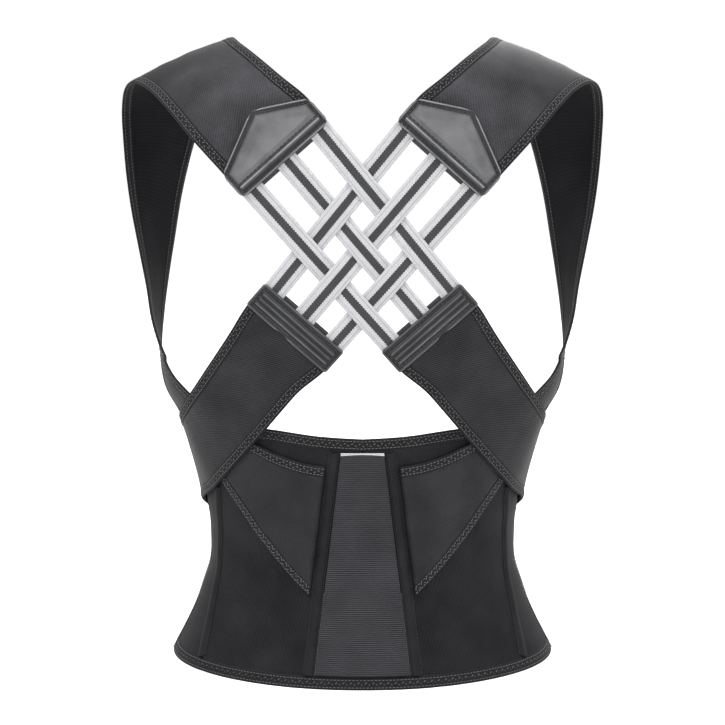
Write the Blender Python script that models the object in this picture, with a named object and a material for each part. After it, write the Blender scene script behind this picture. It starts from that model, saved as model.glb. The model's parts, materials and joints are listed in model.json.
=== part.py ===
"""A posture-correcting back brace, as it sits on a wearer.

A waist belt closes in front with hook and loop. A padded strap starts at each side of the
spine panel, passes under the arm and over the shoulder, and ends in a patch on the upper
back. Three elastic bands run from each upper patch to the lower patch of the other side and
weave through the other three. A pull strap goes from each lower patch round the waist and
sticks to the front of the belt.

Lengths are in millimetres and angles in degrees until a mesh is made, which is in metres.
The wearer faces +Y, so the back of the brace faces -Y. The origin is the middle of the hem.
Angles go round the waist from the spine, positive towards the wearer's right (+X).
"""

import bmesh
import bpy
import numpy as np

MM = 0.001

# ---------------------------------------------------------------- driving dimensions

CLOTH = 2.2            # laminated knit of the belt and the straps
GAP = 0.5              # free space left between two layers of cloth
EDGE_GAP = 0.4         # free space between two pieces that meet edge to edge
BINDING = 10.0         # width of the belt's binding tape
BINDING_PROUD = 0.1    # the tape stands this much above the cloth on each face
STRAP_BINDING = 9.0    # width of the binding along the straps
SEAM_ANGLE = 90.0      # the front of the belt is sewn on here, and swings here
SEAM_SLIT = 0.25       # half of the angle left free at that seam

# The wearer's body: height, half width, depth behind and depth in front.
BODY = [
    (0, 166.0, 122.0, 117.0),
    (50, 142.5, 109.0, 108.0),
    (92, 131.0, 100.0, 101.0),
    (130, 133.0, 97.0, 100.0),
    (165, 137.5, 96.5, 102.0),
    (200, 148.5, 97.0, 105.0),
    (236, 165.0, 99.0, 109.0),
    (300, 172.0, 105.0, 114.0),
]

BELT_TOP = [(0, 208), (22, 210), (42, 214), (65, 216), (90, 207), (120, 186), (150, 168), (182, 160), (200, 160)]

# Spine panel, its two stays and the tubes of tape that hold them.
SPINE_TOP_HALF, SPINE_FOOT_HALF = 18.5, 40.5
SPINE_TOP, SPINE_FOOT = 196.5, 11.5
TUBE_WIDTH, TUBE_WALL, TUBE_HEIGHT = 10.0, 0.8, 2.1
STAY_THICK = 0.9

# Side stays: angle and height along each tube. The seam between back and side lies under it.
SIDE_TUBE = [(65.3, 12), (69.2, 42), (72.4, 78), (72.8, 108), (72.3, 130), (71.6, 156)]

# Anchor bands: (angle, height) of the upper and the lower edge, from the spine outwards.
ANCHOR = [
    ((17.0, 184.3), (22.8, 73.0)),
    ((28.0, 187.0), (34.5, 91.5)),
    ((38.5, 192.4), (46.5, 114.5)),
    ((48.5, 201.0), (57.5, 140.0)),
    ((59.5, 213.0), (70.5, 172.5)),
]
ANCHOR_BINDING = 8.5

# Shoulder straps, where they rest on the belt: the same edges, going on from the anchor band.
STRAP_LOW = [
    ((60.1, 213.8), (71.1, 173.3)),
    ((65.5, 225.5), (77.5, 196.0)),
    ((71.5, 239.5), (84.5, 216.0)),
]
# Then the arm-side edge and the neck-side edge in space, up the chest and over the shoulder.
STRAP_HIGH = [
    ((159, -33.5, 252.5), (172, 10.5, 235.5)),
    ((172, -13.5, 270.5), (178, 34.5, 262.5)),
    ((182, 6, 293.5), (177, 54, 294.5)),
    ((188, 17.5, 322.5), (173, 65.5, 328.5)),
    ((195, 24, 355), (168, 75, 362)),
    ((201.5, 27.5, 388), (162.5, 80.5, 396)),
    ((205.5, 28.5, 418), (154.5, 82.5, 430)),
    ((207.5, 26.5, 446.5), (144.5, 76.5, 461.5)),
    ((207.5, 17.5, 473), (132, 58.5, 493)),
    ((203, 1, 491.5), (119, 29, 522.5)),
    ((193, -21, 498), (110, -8, 535)),
    ((177, -51, 492.5), (100, -47, 530.5)),
    ((159.5, -82.5, 478.5), (83.5, -80.5, 519.5)),
    ((137.5, -104, 455), (64.5, -104, 505)),
]
CROWN = 2.5            # the strap's middle stands this much prouder than its edges
LEAVES_BODY = 262.0    # above this height the straps stand free of the belt

# Patches lie in the plane of the woven bands. Each has a corner, and its edge that faces the
# bands runs inwards and upwards from it on the upper patch, outwards and upwards on the lower.
LATTICE_Y = -114.6
EDGE_RUN = (0.749, 0.6626)
UPPER_CORNER = (95.9, 408.1)
UPPER_LENGTH, UPPER_SIDE, UPPER_PEAK = 93.0, 25.5, 49.0
LOWER_CORNER = (14.8, 283.7)
LOWER_LENGTH, LOWER_SIDE = 85.5, 23.5
PATCH_THICK = 1.3
BACKING_THICK = 1.0
BACKING_SHOWS = 3.0    # the backing reaches this far past the patch, between the bands
TUCK = 9.0             # the bands' ends reach this far under the patch
PATCH_GAP = 0.7
SINK = 1.0             # a strap has bent this far in towards the body where its patch ends
CORNER_ROUND = 6.0

BAND_WIDTH, BAND_THICK = 19.0, 1.2
BAND_LIFT = 0.85       # half the distance between the middles of two crossing bands
UPPER_PITCH, LOWER_PITCH = 36.0, 32.5

# Pull straps: the upper and the lower edge, from the lower patch down to the belt in space,
# then round the belt as (angle, height), to the side seam and on to the free end in front.
PULL_HIGH = [
    ((109.5, -99, 296), (51, -107, 250)),
    ((126, -82.5, 270), (65.5, -101, 233)),
]
PULL_BACK = [
    ((68.5, 243.0), (47.5, 203.0)),
    ((73.5, 231.0), (57.5, 180.5)),
    ((80.5, 218.0), (71.0, 154.5)),
    ((89.6, 205.0), (89.6, 134.2)),
]
PULL_FRONT = [
    ((90.0, 204.5), (90.0, 134.0)),
    ((104.0, 182.0), (104.0, 116.5)),
    ((118.0, 164.0), (118.0, 101.5)),
    ((132.0, 152.0), (132.0, 91.5)),
    ((146.0, 145.5), (146.0, 86.0)),
]
PEEL_ANGLE = 106.0     # the free end of the pull strap peels off from here
PEEL_SLIT = 0.35
PULL_END = 146.0

# The wearer's left front wing closes over the right one. It stands off the body from here.
WING_END = {"left": 198.0, "right": 192.0}
LAP_START, LAP_FULL = 125.0, 167.0
PAD_THICK = 0.8        # hook and loop
LOOP_SPAN = (150.0, 186.0)
HOOK_SPAN = (172.0, 192.0)
PAD_HEIGHTS = (20.0, 140.0)

OVER_STRAP = 2 * (CLOTH + GAP)
SIDES = {"left": -1, "right": 1}

# ---------------------------------------------------------------- materials


def material(name, colour, roughness, metallic=0.0):
    made = bpy.data.materials.new(name)
    made.use_nodes = True
    shader = made.node_tree.nodes["Principled BSDF"]
    shader.inputs["Base Color"].default_value = (*colour, 1)
    shader.inputs["Roughness"].default_value = roughness
    shader.inputs["Metallic"].default_value = metallic
    return made


def all_materials():
    return {
        "knit": material("black_knit", (0.030, 0.030, 0.033), 0.85),
        "spine": material("ribbed_elastic", (0.034, 0.034, 0.038), 0.80),
        "tape": material("binding_tape", (0.022, 0.022, 0.024), 0.75),
        "leather": material("black_leather", (0.035, 0.036, 0.040), 0.42),
        "webbing": material("striped_webbing", (0.62, 0.62, 0.64), 0.60),
        "stay": material("spring_steel", (0.55, 0.56, 0.58), 0.30, 1.0),
        "hook": material("hook_and_loop", (0.018, 0.018, 0.020), 0.95),
    }


# ---------------------------------------------------------------- curves and surfaces


def smooth(stations, where):
    """The value at `where` on a smooth curve through (position, value...) stations."""
    table = np.asarray(stations, float)
    at, values = table[:, 0], table[:, 1:]
    slopes = np.gradient(values, at, axis=0)
    where = np.clip(where, at[0], at[-1])
    i = int(np.clip(np.searchsorted(at, where) - 1, 0, len(at) - 2))
    step = at[i + 1] - at[i]
    t = (where - at[i]) / step
    value = (
        (2 * t**3 - 3 * t**2 + 1) * values[i]
        + (t**3 - 2 * t**2 + t) * step * slopes[i]
        + (3 * t**2 - 2 * t**3) * values[i + 1]
        + (t**3 - t**2) * step * slopes[i + 1]
    )
    return value if len(value) > 1 else float(value[0])


def resample(rows, count):
    """`count` rows, evenly spaced in row number, on smooth curves through the given rows."""
    rows = np.asarray(rows, float)
    flat = rows.reshape(len(rows), -1)
    table = np.column_stack([np.arange(len(rows)), flat])
    picked = [smooth(table, x) for x in np.linspace(0, len(rows) - 1, count)]
    return np.array(picked).reshape(count, *rows.shape[1:])


def ramp(low, high, value):
    t = float(np.clip((value - low) / (high - low), 0, 1))
    return t * t * (3 - 2 * t)


def skin(angle, height, lift=0.0):
    """A point on the body at this angle and height, lifted level and straight out from it."""
    half, back, front = smooth(BODY, height)
    s, c = np.sin(np.radians(angle)), np.cos(np.radians(angle))
    depth = back if c > 0 else front
    radius = 1 / np.hypot(s / half, c / depth)
    x, y = radius * s, -radius * c
    out = np.array([x / half**2, y / depth**2])
    out /= np.linalg.norm(out)
    return np.array([x + lift * out[0], y + lift * out[1], height])


def belt_top(angle):
    return smooth(BELT_TOP, abs(angle))


def offset_on_skin(angle, height, along, across):
    """(angle, height) moved `across` mm at a right angle to the direction `along` on the body."""
    radius = np.linalg.norm(skin(angle, height)[:2])
    run = np.array([np.radians(along[0]) * radius, along[1]])
    run /= np.linalg.norm(run)
    side = np.array([-run[1], run[0]]) * across
    return angle + np.degrees(side[0] / radius), height + side[1]


# ---------------------------------------------------------------- meshes


def to_object(name, bm, finish, smooth_angle=40):
    bmesh.ops.recalc_face_normals(bm, faces=bm.faces)
    if bm.calc_volume(signed=True) < 0:
        bmesh.ops.reverse_faces(bm, faces=bm.faces)
    bmesh.ops.scale(bm, vec=(MM, MM, MM), verts=bm.verts)
    mesh = bpy.data.meshes.new(name)
    bm.to_mesh(mesh)
    bm.free()
    mesh.materials.append(finish)
    mesh.shade_smooth()
    mesh.set_sharp_from_angle(angle=np.radians(smooth_angle))
    made = bpy.data.objects.new(name, mesh)
    bpy.context.scene.collection.objects.link(made)
    return made


def slab(name, inner, outer, finish):
    """A solid between two grids of points, each (rows, columns, xyz)."""
    rows, columns = inner.shape[:2]
    bm = bmesh.new()
    low = [[bm.verts.new(p) for p in row] for row in inner]
    high = [[bm.verts.new(p) for p in row] for row in outer]
    for i in range(rows - 1):
        for j in range(columns - 1):
            bm.faces.new((low[i][j], low[i + 1][j], low[i + 1][j + 1], low[i][j + 1]))
            bm.faces.new((high[i][j], high[i][j + 1], high[i + 1][j + 1], high[i + 1][j]))
    rim = [(0, j) for j in range(columns)] + [(i, columns - 1) for i in range(1, rows)]
    rim += [(rows - 1, j) for j in range(columns - 2, -1, -1)] + [(i, 0) for i in range(rows - 2, 0, -1)]
    for (a, b), (c, d) in zip(rim, rim[1:] + rim[:1]):
        bm.faces.new((low[a][b], low[c][d], high[c][d], high[a][b]))
    return to_object(name, bm, finish)


def tube_of_tape(name, sections, finish):
    """A channel with its open side inwards: eight points a section, the four outer ones first."""
    bm = bmesh.new()
    rings = [[bm.verts.new(p) for p in section] for section in sections]
    for one, two in zip(rings, rings[1:]):
        for k in range(8):
            bm.faces.new((one[k], two[k], two[(k + 1) % 8], one[(k + 1) % 8]))
    for ring in (rings[0], rings[-1]):
        for a, b, c, d in ((0, 1, 6, 7), (1, 2, 5, 6), (2, 3, 4, 5)):
            bm.faces.new((ring[a], ring[b], ring[c], ring[d]))
    return to_object(name, bm, finish)


def plate(name, outline, y_out, y_in, finish):
    """A flat plate across Y with this (x, z) outline."""
    bm = bmesh.new()
    face = bm.faces.new([bm.verts.new((x, y_out, z)) for x, z in outline])
    moved = bmesh.ops.extrude_face_region(bm, geom=[face])["geom"]
    corners = [v for v in moved if isinstance(v, bmesh.types.BMVert)]
    bmesh.ops.translate(bm, vec=(0, y_in - y_out, 0), verts=corners)
    return to_object(name, bm, finish)


def rounded(corners, radii, steps=4):
    """The outline with each corner turned into a curve that starts `radius` before it."""
    corners = np.asarray(corners, float)
    made = []
    for k, radius in enumerate(radii):
        here, before, after = corners[k], corners[k - 1], corners[(k + 1) % len(corners)]
        start = here + (before - here) / np.linalg.norm(before - here) * radius
        end = here + (after - here) / np.linalg.norm(after - here) * radius
        for t in np.linspace(0, 1, steps + 1):
            made.append((1 - t) ** 2 * start + 2 * t * (1 - t) * here + t**2 * end)
    return made


# ---------------------------------------------------------------- belt


def belt_grid(start, end, low, high, columns, rows, lift, sign):
    """Points of a belt panel. start and end give an angle for a share of the height from the
    hem, low and high a height for an angle, and lift the distance from the body."""
    grid = np.zeros((rows + 1, columns + 1, 3))
    for i in range(rows + 1):
        share = i / rows
        for j, across in enumerate(np.linspace(0, 1, columns + 1)):
            angle = start(share) * (1 - across) + end(share) * across
            height = low(angle) * (1 - share) + high(angle) * share
            grid[i, j] = skin(sign * angle, height, lift(angle))
    return grid


def belt_panel(name, start, end, low, high, columns, rows, inner_lift, thick, sign, finish):
    """A piece of the belt between two edges and two heights, `thick` mm thick."""
    inner = belt_grid(start, end, low, high, columns, rows, inner_lift, sign)
    outer = belt_grid(start, end, low, high, columns, rows, lambda a: inner_lift(a) + thick, sign)
    return slab(name, inner, outer, finish)


def flat_on_body(angle):
    return 0.0


def above_hem(angle):
    return BINDING + EDGE_GAP


def below_top(angle):
    return belt_top(angle) - BINDING - EDGE_GAP


def side_seam(share):
    table = [(height, angle) for angle, height in SIDE_TUBE]
    return smooth(table, belt_top(70) * share)


def make_back_of_belt(finish):
    slit = np.degrees(EDGE_GAP / 2 / BODY[2][1])
    for side, sign in SIDES.items():
        belt_panel(
            f"back_panel_{side}", lambda v: slit, lambda v: side_seam(v) - slit,
            above_hem, below_top, 13, 14, flat_on_body, CLOTH, sign, finish["knit"],
        )
        belt_panel(
            f"side_panel_{side}", lambda v: side_seam(v) + slit, lambda v: SEAM_ANGLE,
            above_hem, below_top, 4, 14, flat_on_body, CLOTH, sign, finish["knit"],
        )


def binding(name, start, end, low, high, columns, inner_lift, finish):
    """Tape folded over an edge of the belt. It stands a little proud on both faces."""
    return belt_panel(
        name, lambda v: start, lambda v: end, low, high, columns, 1,
        lambda a: inner_lift(a) - BINDING_PROUD, CLOTH + 2 * BINDING_PROUD, 1, finish,
    )


def make_back_bindings(finish):
    binding(
        "hem_binding_back", -SEAM_ANGLE, SEAM_ANGLE, lambda a: 0.0, lambda a: BINDING,
        34, flat_on_body, finish["tape"],
    )
    binding(
        "top_binding_back", -SEAM_ANGLE, SEAM_ANGLE, lambda a: belt_top(a) - BINDING, belt_top,
        34, flat_on_body, finish["tape"],
    )


# ---------------------------------------------------------------- stays and their tubes


def spine_edge(height):
    """Half the width of the spine panel at this height."""
    share = (height - SPINE_FOOT) / (SPINE_TOP - SPINE_FOOT)
    return SPINE_FOOT_HALF * (1 - share) + SPINE_TOP_HALF * share


def angle_at(x, height, lift):
    """The angle at which the body, lifted, is `x` mm to the side of the spine."""
    half, back, _ = smooth(BODY, height)
    y = -(back + lift) * np.sqrt(1 - (x / (half + lift)) ** 2)
    return np.degrees(np.arctan2(x, -y))


def make_spine_panel(finish):
    base, rows, columns = CLOTH + GAP, 14, 6
    grids = []
    for lift in (base, base + CLOTH - GAP):
        grid = np.zeros((rows + 1, columns + 1, 3))
        for i, height in enumerate(np.linspace(SPINE_FOOT, SPINE_TOP, rows + 1)):
            reach = spine_edge(height) - EDGE_GAP
            for j, x in enumerate(np.linspace(-reach, reach, columns + 1)):
                grid[i, j] = skin(angle_at(x, height, base), height, lift)
        grids.append(grid)
    slab("spine_panel", *grids, finish["spine"])


def tube_sections(path, sign):
    """Sections of a stay tube, open towards the body, along a list of (angle, height)."""
    half, base = TUBE_WIDTH / 2, CLOTH + GAP
    top, under = base + TUBE_HEIGHT, base + TUBE_HEIGHT - TUBE_WALL
    inside = half - TUBE_WALL
    profile = [(-half, base), (-half, top), (half, top), (half, base)]
    profile += [(inside, base), (inside, under), (-inside, under), (-inside, base)]
    return strip_sections(path, profile, sign)


def stay_sections(path, sign):
    half = TUBE_WIDTH / 2 - TUBE_WALL - EDGE_GAP
    low = CLOTH + EDGE_GAP
    return strip_sections(path, [(-half, low), (-half, low + STAY_THICK), (half, low + STAY_THICK), (half, low)], sign)


def strip_sections(path, profile, sign):
    """Sections across a path on the body. The profile gives (across, lift) for each corner."""
    sections = []
    for i, (angle, height) in enumerate(path):
        before, after = path[max(i - 1, 0)], path[min(i + 1, len(path) - 1)]
        along = (after[0] - before[0], after[1] - before[1])
        row = []
        for across, lift in profile:
            a, h = offset_on_skin(angle, height, along, across)
            row.append(skin(sign * a, h, lift))
        sections.append(row)
    return sections


def bar(name, sections, finish):
    """A solid bar with four corners a section."""
    grid = np.array(sections)
    return slab(name, grid[:, [0, 3]], grid[:, [1, 2]], finish)


def make_stays(finish):
    spine_path = []
    for height in np.linspace(SPINE_FOOT, SPINE_TOP, 15):
        x = spine_edge(height) + TUBE_WIDTH / 2
        spine_path.append((angle_at(x, height, CLOTH + GAP), height))
    side_path = [tuple(p) for p in resample(SIDE_TUBE, 12)]
    for side, sign in SIDES.items():
        for kind, path in (("spine", spine_path), ("side", side_path)):
            tube_of_tape(f"{kind}_stay_tube_{side}", tube_sections(path, sign), finish["tape"])
            bar(f"{kind}_stay_{side}", stay_sections(path[1:-1], sign), finish["stay"])


# ---------------------------------------------------------------- anchor bands and straps


def split_across(edges, widths, steps):
    """Columns across rows of (edge, edge) pairs, from one distance in mm to another.
    widths gives (from_first, from_second): the distance kept from each edge."""
    first, second = edges[:, 0], edges[:, 1]
    length = np.linalg.norm(second - first, axis=1)
    low, high = widths[0] / length, 1 - widths[1] / length
    return [low + (high - low) * k / steps for k in range(steps + 1)]


def clear_of_body(point, lift):
    """The point, moved level and outwards where it lies closer to the body than `lift`."""
    free = max(0.0, point[2] - LEAVES_BODY)
    if free > 30:
        return point
    angle = np.degrees(np.arctan2(point[0], -point[1]))
    base = skin(angle, point[2])
    out = skin(angle, point[2], 1.0) - base
    missing = lift - free / 2 - np.dot(point - base, out)
    return point + out * max(0.0, missing)


def ribbon(name, edges, keep, steps, lift, finish, sign, crown=0.0):
    """A strip of cloth outside the surface between two edges in space. Near the body it rests
    `lift` above it."""
    first, second = edges[:, 0], edges[:, 1]
    run = np.gradient((first + second) / 2, axis=0)
    out = np.cross(second - first, run)
    out /= np.linalg.norm(out, axis=1)[:, None]
    inner, outer = [], []
    for share in split_across(edges, keep, steps):
        share = share[:, None]
        on = first * (1 - share) + second * share
        on = on + out * crown * (1 - (2 * share - 1) ** 2)
        low = np.array([clear_of_body(p, lift) for p in on])
        inner.append(low)
        outer.append(np.array([clear_of_body(p, lift + CLOTH) for p in low + out * CLOTH]))
    grids = [np.stack(g, axis=1) * (sign, 1, 1) for g in (inner, outer)]
    return slab(name, *grids, finish)


def on_body(rows, lift, count):
    """Rows of edge pairs on the lifted body, from (angle, height) pairs."""
    return np.array([[skin(*edge, lift) for edge in row] for row in resample(rows, count)])


def body_strip(name, rows, keep, steps, lift, thick, finish, sign, start=lambda level: 0.0):
    """A strip of cloth that follows the body between two edges given as (angle, height).
    `start` gives the angle, at a height, before which there is none of it."""
    rows = np.asarray(rows, float)
    edges = np.array([[skin(*edge, 0) for edge in row] for row in rows])
    grids = []
    for height in (0, thick):
        columns = []
        for share in split_across(edges, keep, steps):
            column = []
            for (one, two), s in zip(rows, share):
                angle, level = one * (1 - s) + two * s
                angle = max(angle, start(level))
                base = lift(angle) if callable(lift) else lift
                column.append(skin(sign * angle, level, base + height))
            columns.append(column)
        grids.append(np.array(columns).transpose(1, 0, 2))
    return slab(name, *grids, finish)


def beside_tube(height):
    """The angle just outside the tube of the spine stay."""
    lift = CLOTH + GAP
    return angle_at(spine_edge(height) + TUBE_WIDTH + EDGE_GAP + 0.1, height, lift)


def make_anchor_bands(finish):
    rows = resample(ANCHOR, 13)
    lift, inside = CLOTH + GAP, ANCHOR_BINDING + EDGE_GAP
    width = np.array([np.linalg.norm(skin(*a) - skin(*b)) for a, b in rows])
    for side, sign in SIDES.items():
        for name, keep, steps, tint in (
            (f"anchor_band_{side}", (inside, inside), 6, "knit"),
            (f"anchor_band_upper_binding_{side}", (0, width - ANCHOR_BINDING), 1, "tape"),
            (f"anchor_band_lower_binding_{side}", (width - ANCHOR_BINDING, 0), 1, "tape"),
        ):
            body_strip(name, rows, keep, steps, lift, CLOTH, finish[tint], sign, beside_tube)


def on_patch(corner, run, inwards, u, v):
    """(x, z) of a point u along a patch's edge from its corner and v away from the bands."""
    x, z = corner
    along = np.array([run[0] * inwards, run[1]])
    away = np.array([run[1], run[0] * -inwards])
    return np.array([x, z]) + along * u + away * v


def upper_point(u, v):
    return on_patch(UPPER_CORNER, EDGE_RUN, -1, u, v)


def lower_point(u, v):
    return on_patch(LOWER_CORNER, EDGE_RUN, 1, u, v)


def in_lattice(point):
    return (point[0], LATTICE_Y, point[1])


def strap_edges(count):
    """Both edges of the shoulder strap's inner face, from under the arm to the upper patch."""
    low = on_body(STRAP_LOW, CLOTH + GAP, len(STRAP_LOW))
    high = np.array(STRAP_HIGH, float)
    end = [
        [in_lattice(upper_point(1, v)), in_lattice(upper_point(UPPER_LENGTH - 1, v))]
        for v in (UPPER_SIDE + 4, TUCK + 2)
    ]
    end = np.array(end) + (0, CLOTH / 2, 0)
    end[0] += (0, SINK, 0)
    return resample(np.concatenate([low, high, end]), count)


def make_shoulder_straps(finish):
    edges = strap_edges(46)
    inside = STRAP_BINDING + EDGE_GAP
    width = np.linalg.norm(edges[:, 1] - edges[:, 0], axis=1)
    share = np.linspace(0, 1, len(edges))
    crown = (CROWN * np.clip(np.minimum(share - 0.2, 0.92 - share) / 0.1, 0, 1))[:, None]
    for side, sign in SIDES.items():
        for name, keep, steps, tint in (
            (f"shoulder_strap_{side}", (inside, inside), 4, "knit"),
            (f"shoulder_strap_arm_binding_{side}", (0, width - STRAP_BINDING), 1, "tape"),
            (f"shoulder_strap_neck_binding_{side}", (width - STRAP_BINDING, 0), 1, "tape"),
        ):
            ribbon(name, edges, keep, steps, CLOTH + GAP, finish[tint], sign, crown)


# ---------------------------------------------------------------- patches and woven bands


def make_patches(finish):
    out = LATTICE_Y - CLOTH / 2 - PATCH_GAP
    back = LATTICE_Y + CLOTH / 2 + EDGE_GAP
    upper = [(0, 0), (UPPER_LENGTH, 0), (UPPER_LENGTH, UPPER_SIDE)]
    upper += [(UPPER_LENGTH * 0.56, UPPER_PEAK), (0, UPPER_SIDE)]
    upper_radii = (CORNER_ROUND, CORNER_ROUND, CORNER_ROUND, 2 * CORNER_ROUND, CORNER_ROUND)
    lower = [(0, 0), (LOWER_LENGTH, 0), (LOWER_LENGTH, LOWER_SIDE), (0, LOWER_SIDE)]
    lower_radii = (CORNER_ROUND / 3,) * 4
    for side, sign in SIDES.items():
        for where, corners, radii, point, length in (
            ("upper", upper, upper_radii, upper_point, UPPER_LENGTH),
            ("lower", lower, lower_radii, lower_point, LOWER_LENGTH),
        ):
            outline = [point(u, v) * (sign, 1) for u, v in rounded(corners, radii)]
            plate(f"{where}_patch_{side}", outline, out - PATCH_THICK, out, finish["leather"])
            low = BAND_WIDTH * 0.6
            behind = [(low, -BACKING_SHOWS), (length - low, -BACKING_SHOWS), (length - 2, 0)]
            behind += [(length - 2, TUCK + 1), (2, TUCK + 1), (2, 0)]
            outline = [point(u, v) * (sign, 1) for u, v in behind]
            plate(f"{where}_patch_backing_{side}", outline, back, back + BACKING_THICK, finish["leather"])


def band_ends(k, sign):
    """(x, z) of both ends of band k, at the upper patch on one side and the lower on the other."""
    top = upper_point(UPPER_LENGTH / 2 + k * UPPER_PITCH, 0) * (sign, 1)
    foot = lower_point(LOWER_LENGTH / 2 + k * LOWER_PITCH, 0) * (-sign, 1)
    run = (foot - top) / np.linalg.norm(foot - top)
    return top - run * TUCK, foot + run * TUCK


def crossing(one, two):
    """How far along the first band, in mm, the second crosses it."""
    a, b = one
    c, d = two
    run, other = b - a, d - c
    share = np.cross(c - a, other) / np.cross(run, other)
    return share * np.linalg.norm(run)


def make_bands(finish):
    """Six bands, plain weave. A band lies outside a crossing one where their numbers' sum is even."""
    order = {"left": (-1, 0, 1), "right": (1, 0, -1)}
    ends = {side: [band_ends(k, SIDES[side]) for k in order[side]] for side in SIDES}
    for side, other in (("left", "right"), ("right", "left")):
        for n, (top, foot) in enumerate(ends[side]):
            length = np.linalg.norm(foot - top)
            stations = [(0.0, 0.0)]
            for m, across in enumerate(ends[other]):
                over = (n + m) % 2 == (0 if side == "left" else 1)
                stations.append((crossing((top, foot), across), -BAND_LIFT if over else BAND_LIFT))
            stations = sorted(stations) + [(length, 0.0)]
            make_band(f"band_{side}_{n + 1}", top, foot, stations, finish["webbing"])


def make_band(name, top, foot, stations, finish):
    """One flat band. It rests at each crossing for a band's width and slopes in between."""
    length = np.linalg.norm(foot - top)
    run = (foot - top) / length
    side = np.array([-run[1], run[0]]) * BAND_WIDTH / 2
    rest = BAND_WIDTH / 2 + 0.5
    knots = [(0.0, 0.0), (TUCK + 2, 0.0)]
    for at, y in stations[1:-1]:
        knots += [(at - rest, y), (at + rest, y)]
    knots += [(length - TUCK - 2, 0.0), (length, 0.0)]
    inner, outer = [], []
    for at, y in knots:
        x, z = top + run * at
        for grid, half in ((inner, BAND_THICK / 2), (outer, -BAND_THICK / 2)):
            level = LATTICE_Y + y + half
            grid.append([(x - side[0], level, z - side[1]), (x + side[0], level, z + side[1])])
    return slab(name, np.array(inner), np.array(outer), finish)


# ---------------------------------------------------------------- pull straps


def lap(side, angle):
    """How far a front wing stands off the body. The left one closes over the right one."""
    over_right_wing = CLOTH + 2 * PAD_THICK + 3 * EDGE_GAP
    return over_right_wing * ramp(LAP_START, LAP_FULL, angle) if side == "left" else 0.0


def pull_lift(side, angle):
    """The pull strap lies over the shoulder strap at the side and over its hooks in front."""
    over_hooks = CLOTH + PAD_THICK + 2 * GAP
    return OVER_STRAP - (OVER_STRAP - over_hooks) * ramp(84, 100, angle) + lap(side, angle)


def pull_edges(count):
    """Both edges of the pull strap's inner face, from under the lower patch to the side seam."""
    start = [
        [in_lattice(lower_point(LOWER_LENGTH - 1.5, v)), in_lattice(lower_point(1.5, v))]
        for v in (TUCK + 2, LOWER_SIDE + 3)
    ]
    start = np.array(start) + (0, CLOTH / 2, 0)
    start[1] += (0, SINK, 0)
    body = np.array([[skin(a, z, OVER_STRAP) for a, z in row] for row in PULL_BACK])
    return resample(np.concatenate([start, np.array(PULL_HIGH, float), body]), count)


def make_pull_straps(finish):
    edges = pull_edges(19)
    inside = STRAP_BINDING + EDGE_GAP
    width = np.linalg.norm(edges[:, 1] - edges[:, 0], axis=1)
    for side, sign in SIDES.items():
        for name, keep, steps, tint in (
            (f"pull_strap_{side}", (inside, inside), 5, "knit"),
            (f"pull_strap_upper_binding_{side}", (0, width - STRAP_BINDING), 1, "tape"),
            (f"pull_strap_lower_binding_{side}", (width - STRAP_BINDING, 0), 1, "tape"),
        ):
            ribbon(name, edges, keep, steps, OVER_STRAP, finish[tint], sign)


# ---------------------------------------------------------------- front of the belt


def degrees_of(length, angle, height):
    """The angle that a length takes up round the body."""
    return np.degrees(length / np.linalg.norm(skin(angle, height)[:2]))


def make_wings(finish):
    """The two front halves of the belt, each with one binding round its three free edges."""
    start = SEAM_ANGLE + SEAM_SLIT
    for side, sign in SIDES.items():
        end = WING_END[side]
        tape = degrees_of(BINDING, end, 0)
        inside = end - tape - degrees_of(EDGE_GAP, end, 0)
        belt_panel(
            f"front_wing_{side}", lambda v: start, lambda v: inside, above_hem, below_top, 20, 10,
            lambda a: lap(side, a), CLOTH, sign, finish["knit"],
        )
        along = np.linspace(start, end - tape - 3, 20)
        rise = np.linspace(BINDING + 8, belt_top(end) - BINDING - 8, 9)
        rows = [((a, 0), (a, BINDING)) for a in along]
        rows += [((end, 0), (end - tape, BINDING))]
        rows += [((end, z), (end - tape, z)) for z in rise]
        rows += [((end, belt_top(end)), (end - tape, belt_top(end) - BINDING))]
        rows += [((a, belt_top(a)), (a, belt_top(a) - BINDING)) for a in along[::-1]]
        body_strip(
            f"front_binding_{side}", rows, (0, 0), 1, lambda a: lap(side, a) - BINDING_PROUD,
            CLOTH + 2 * BINDING_PROUD, finish["tape"], sign,
        )


def make_closure(finish):
    """Loop pad outside the right wing's end, hook pad inside the left wing's end."""
    low, high = PAD_HEIGHTS
    for name, side, span, lift in (
        ("loop_pad", "right", LOOP_SPAN, CLOTH + EDGE_GAP),
        ("hook_pad", "left", HOOK_SPAN, CLOTH + PAD_THICK + 2 * EDGE_GAP),
    ):
        belt_panel(
            name, lambda v: span[0], lambda v: span[1], lambda a: low, lambda a: high,
            6, 8, lambda a: lift, PAD_THICK, SIDES[side], finish["hook"],
        )


def pull_rows(start, end, count, shrink=0.0):
    """(angle, height) of both edges of the pull strap in front, from one angle to another."""
    table = [(row[0][0], row[0][1], row[1][1]) for row in PULL_FRONT]
    rows = []
    for angle in np.linspace(start, end, count):
        top, foot = smooth(table, angle)
        rows.append(((angle, top - shrink), (angle, foot + shrink)))
    return rows


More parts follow.
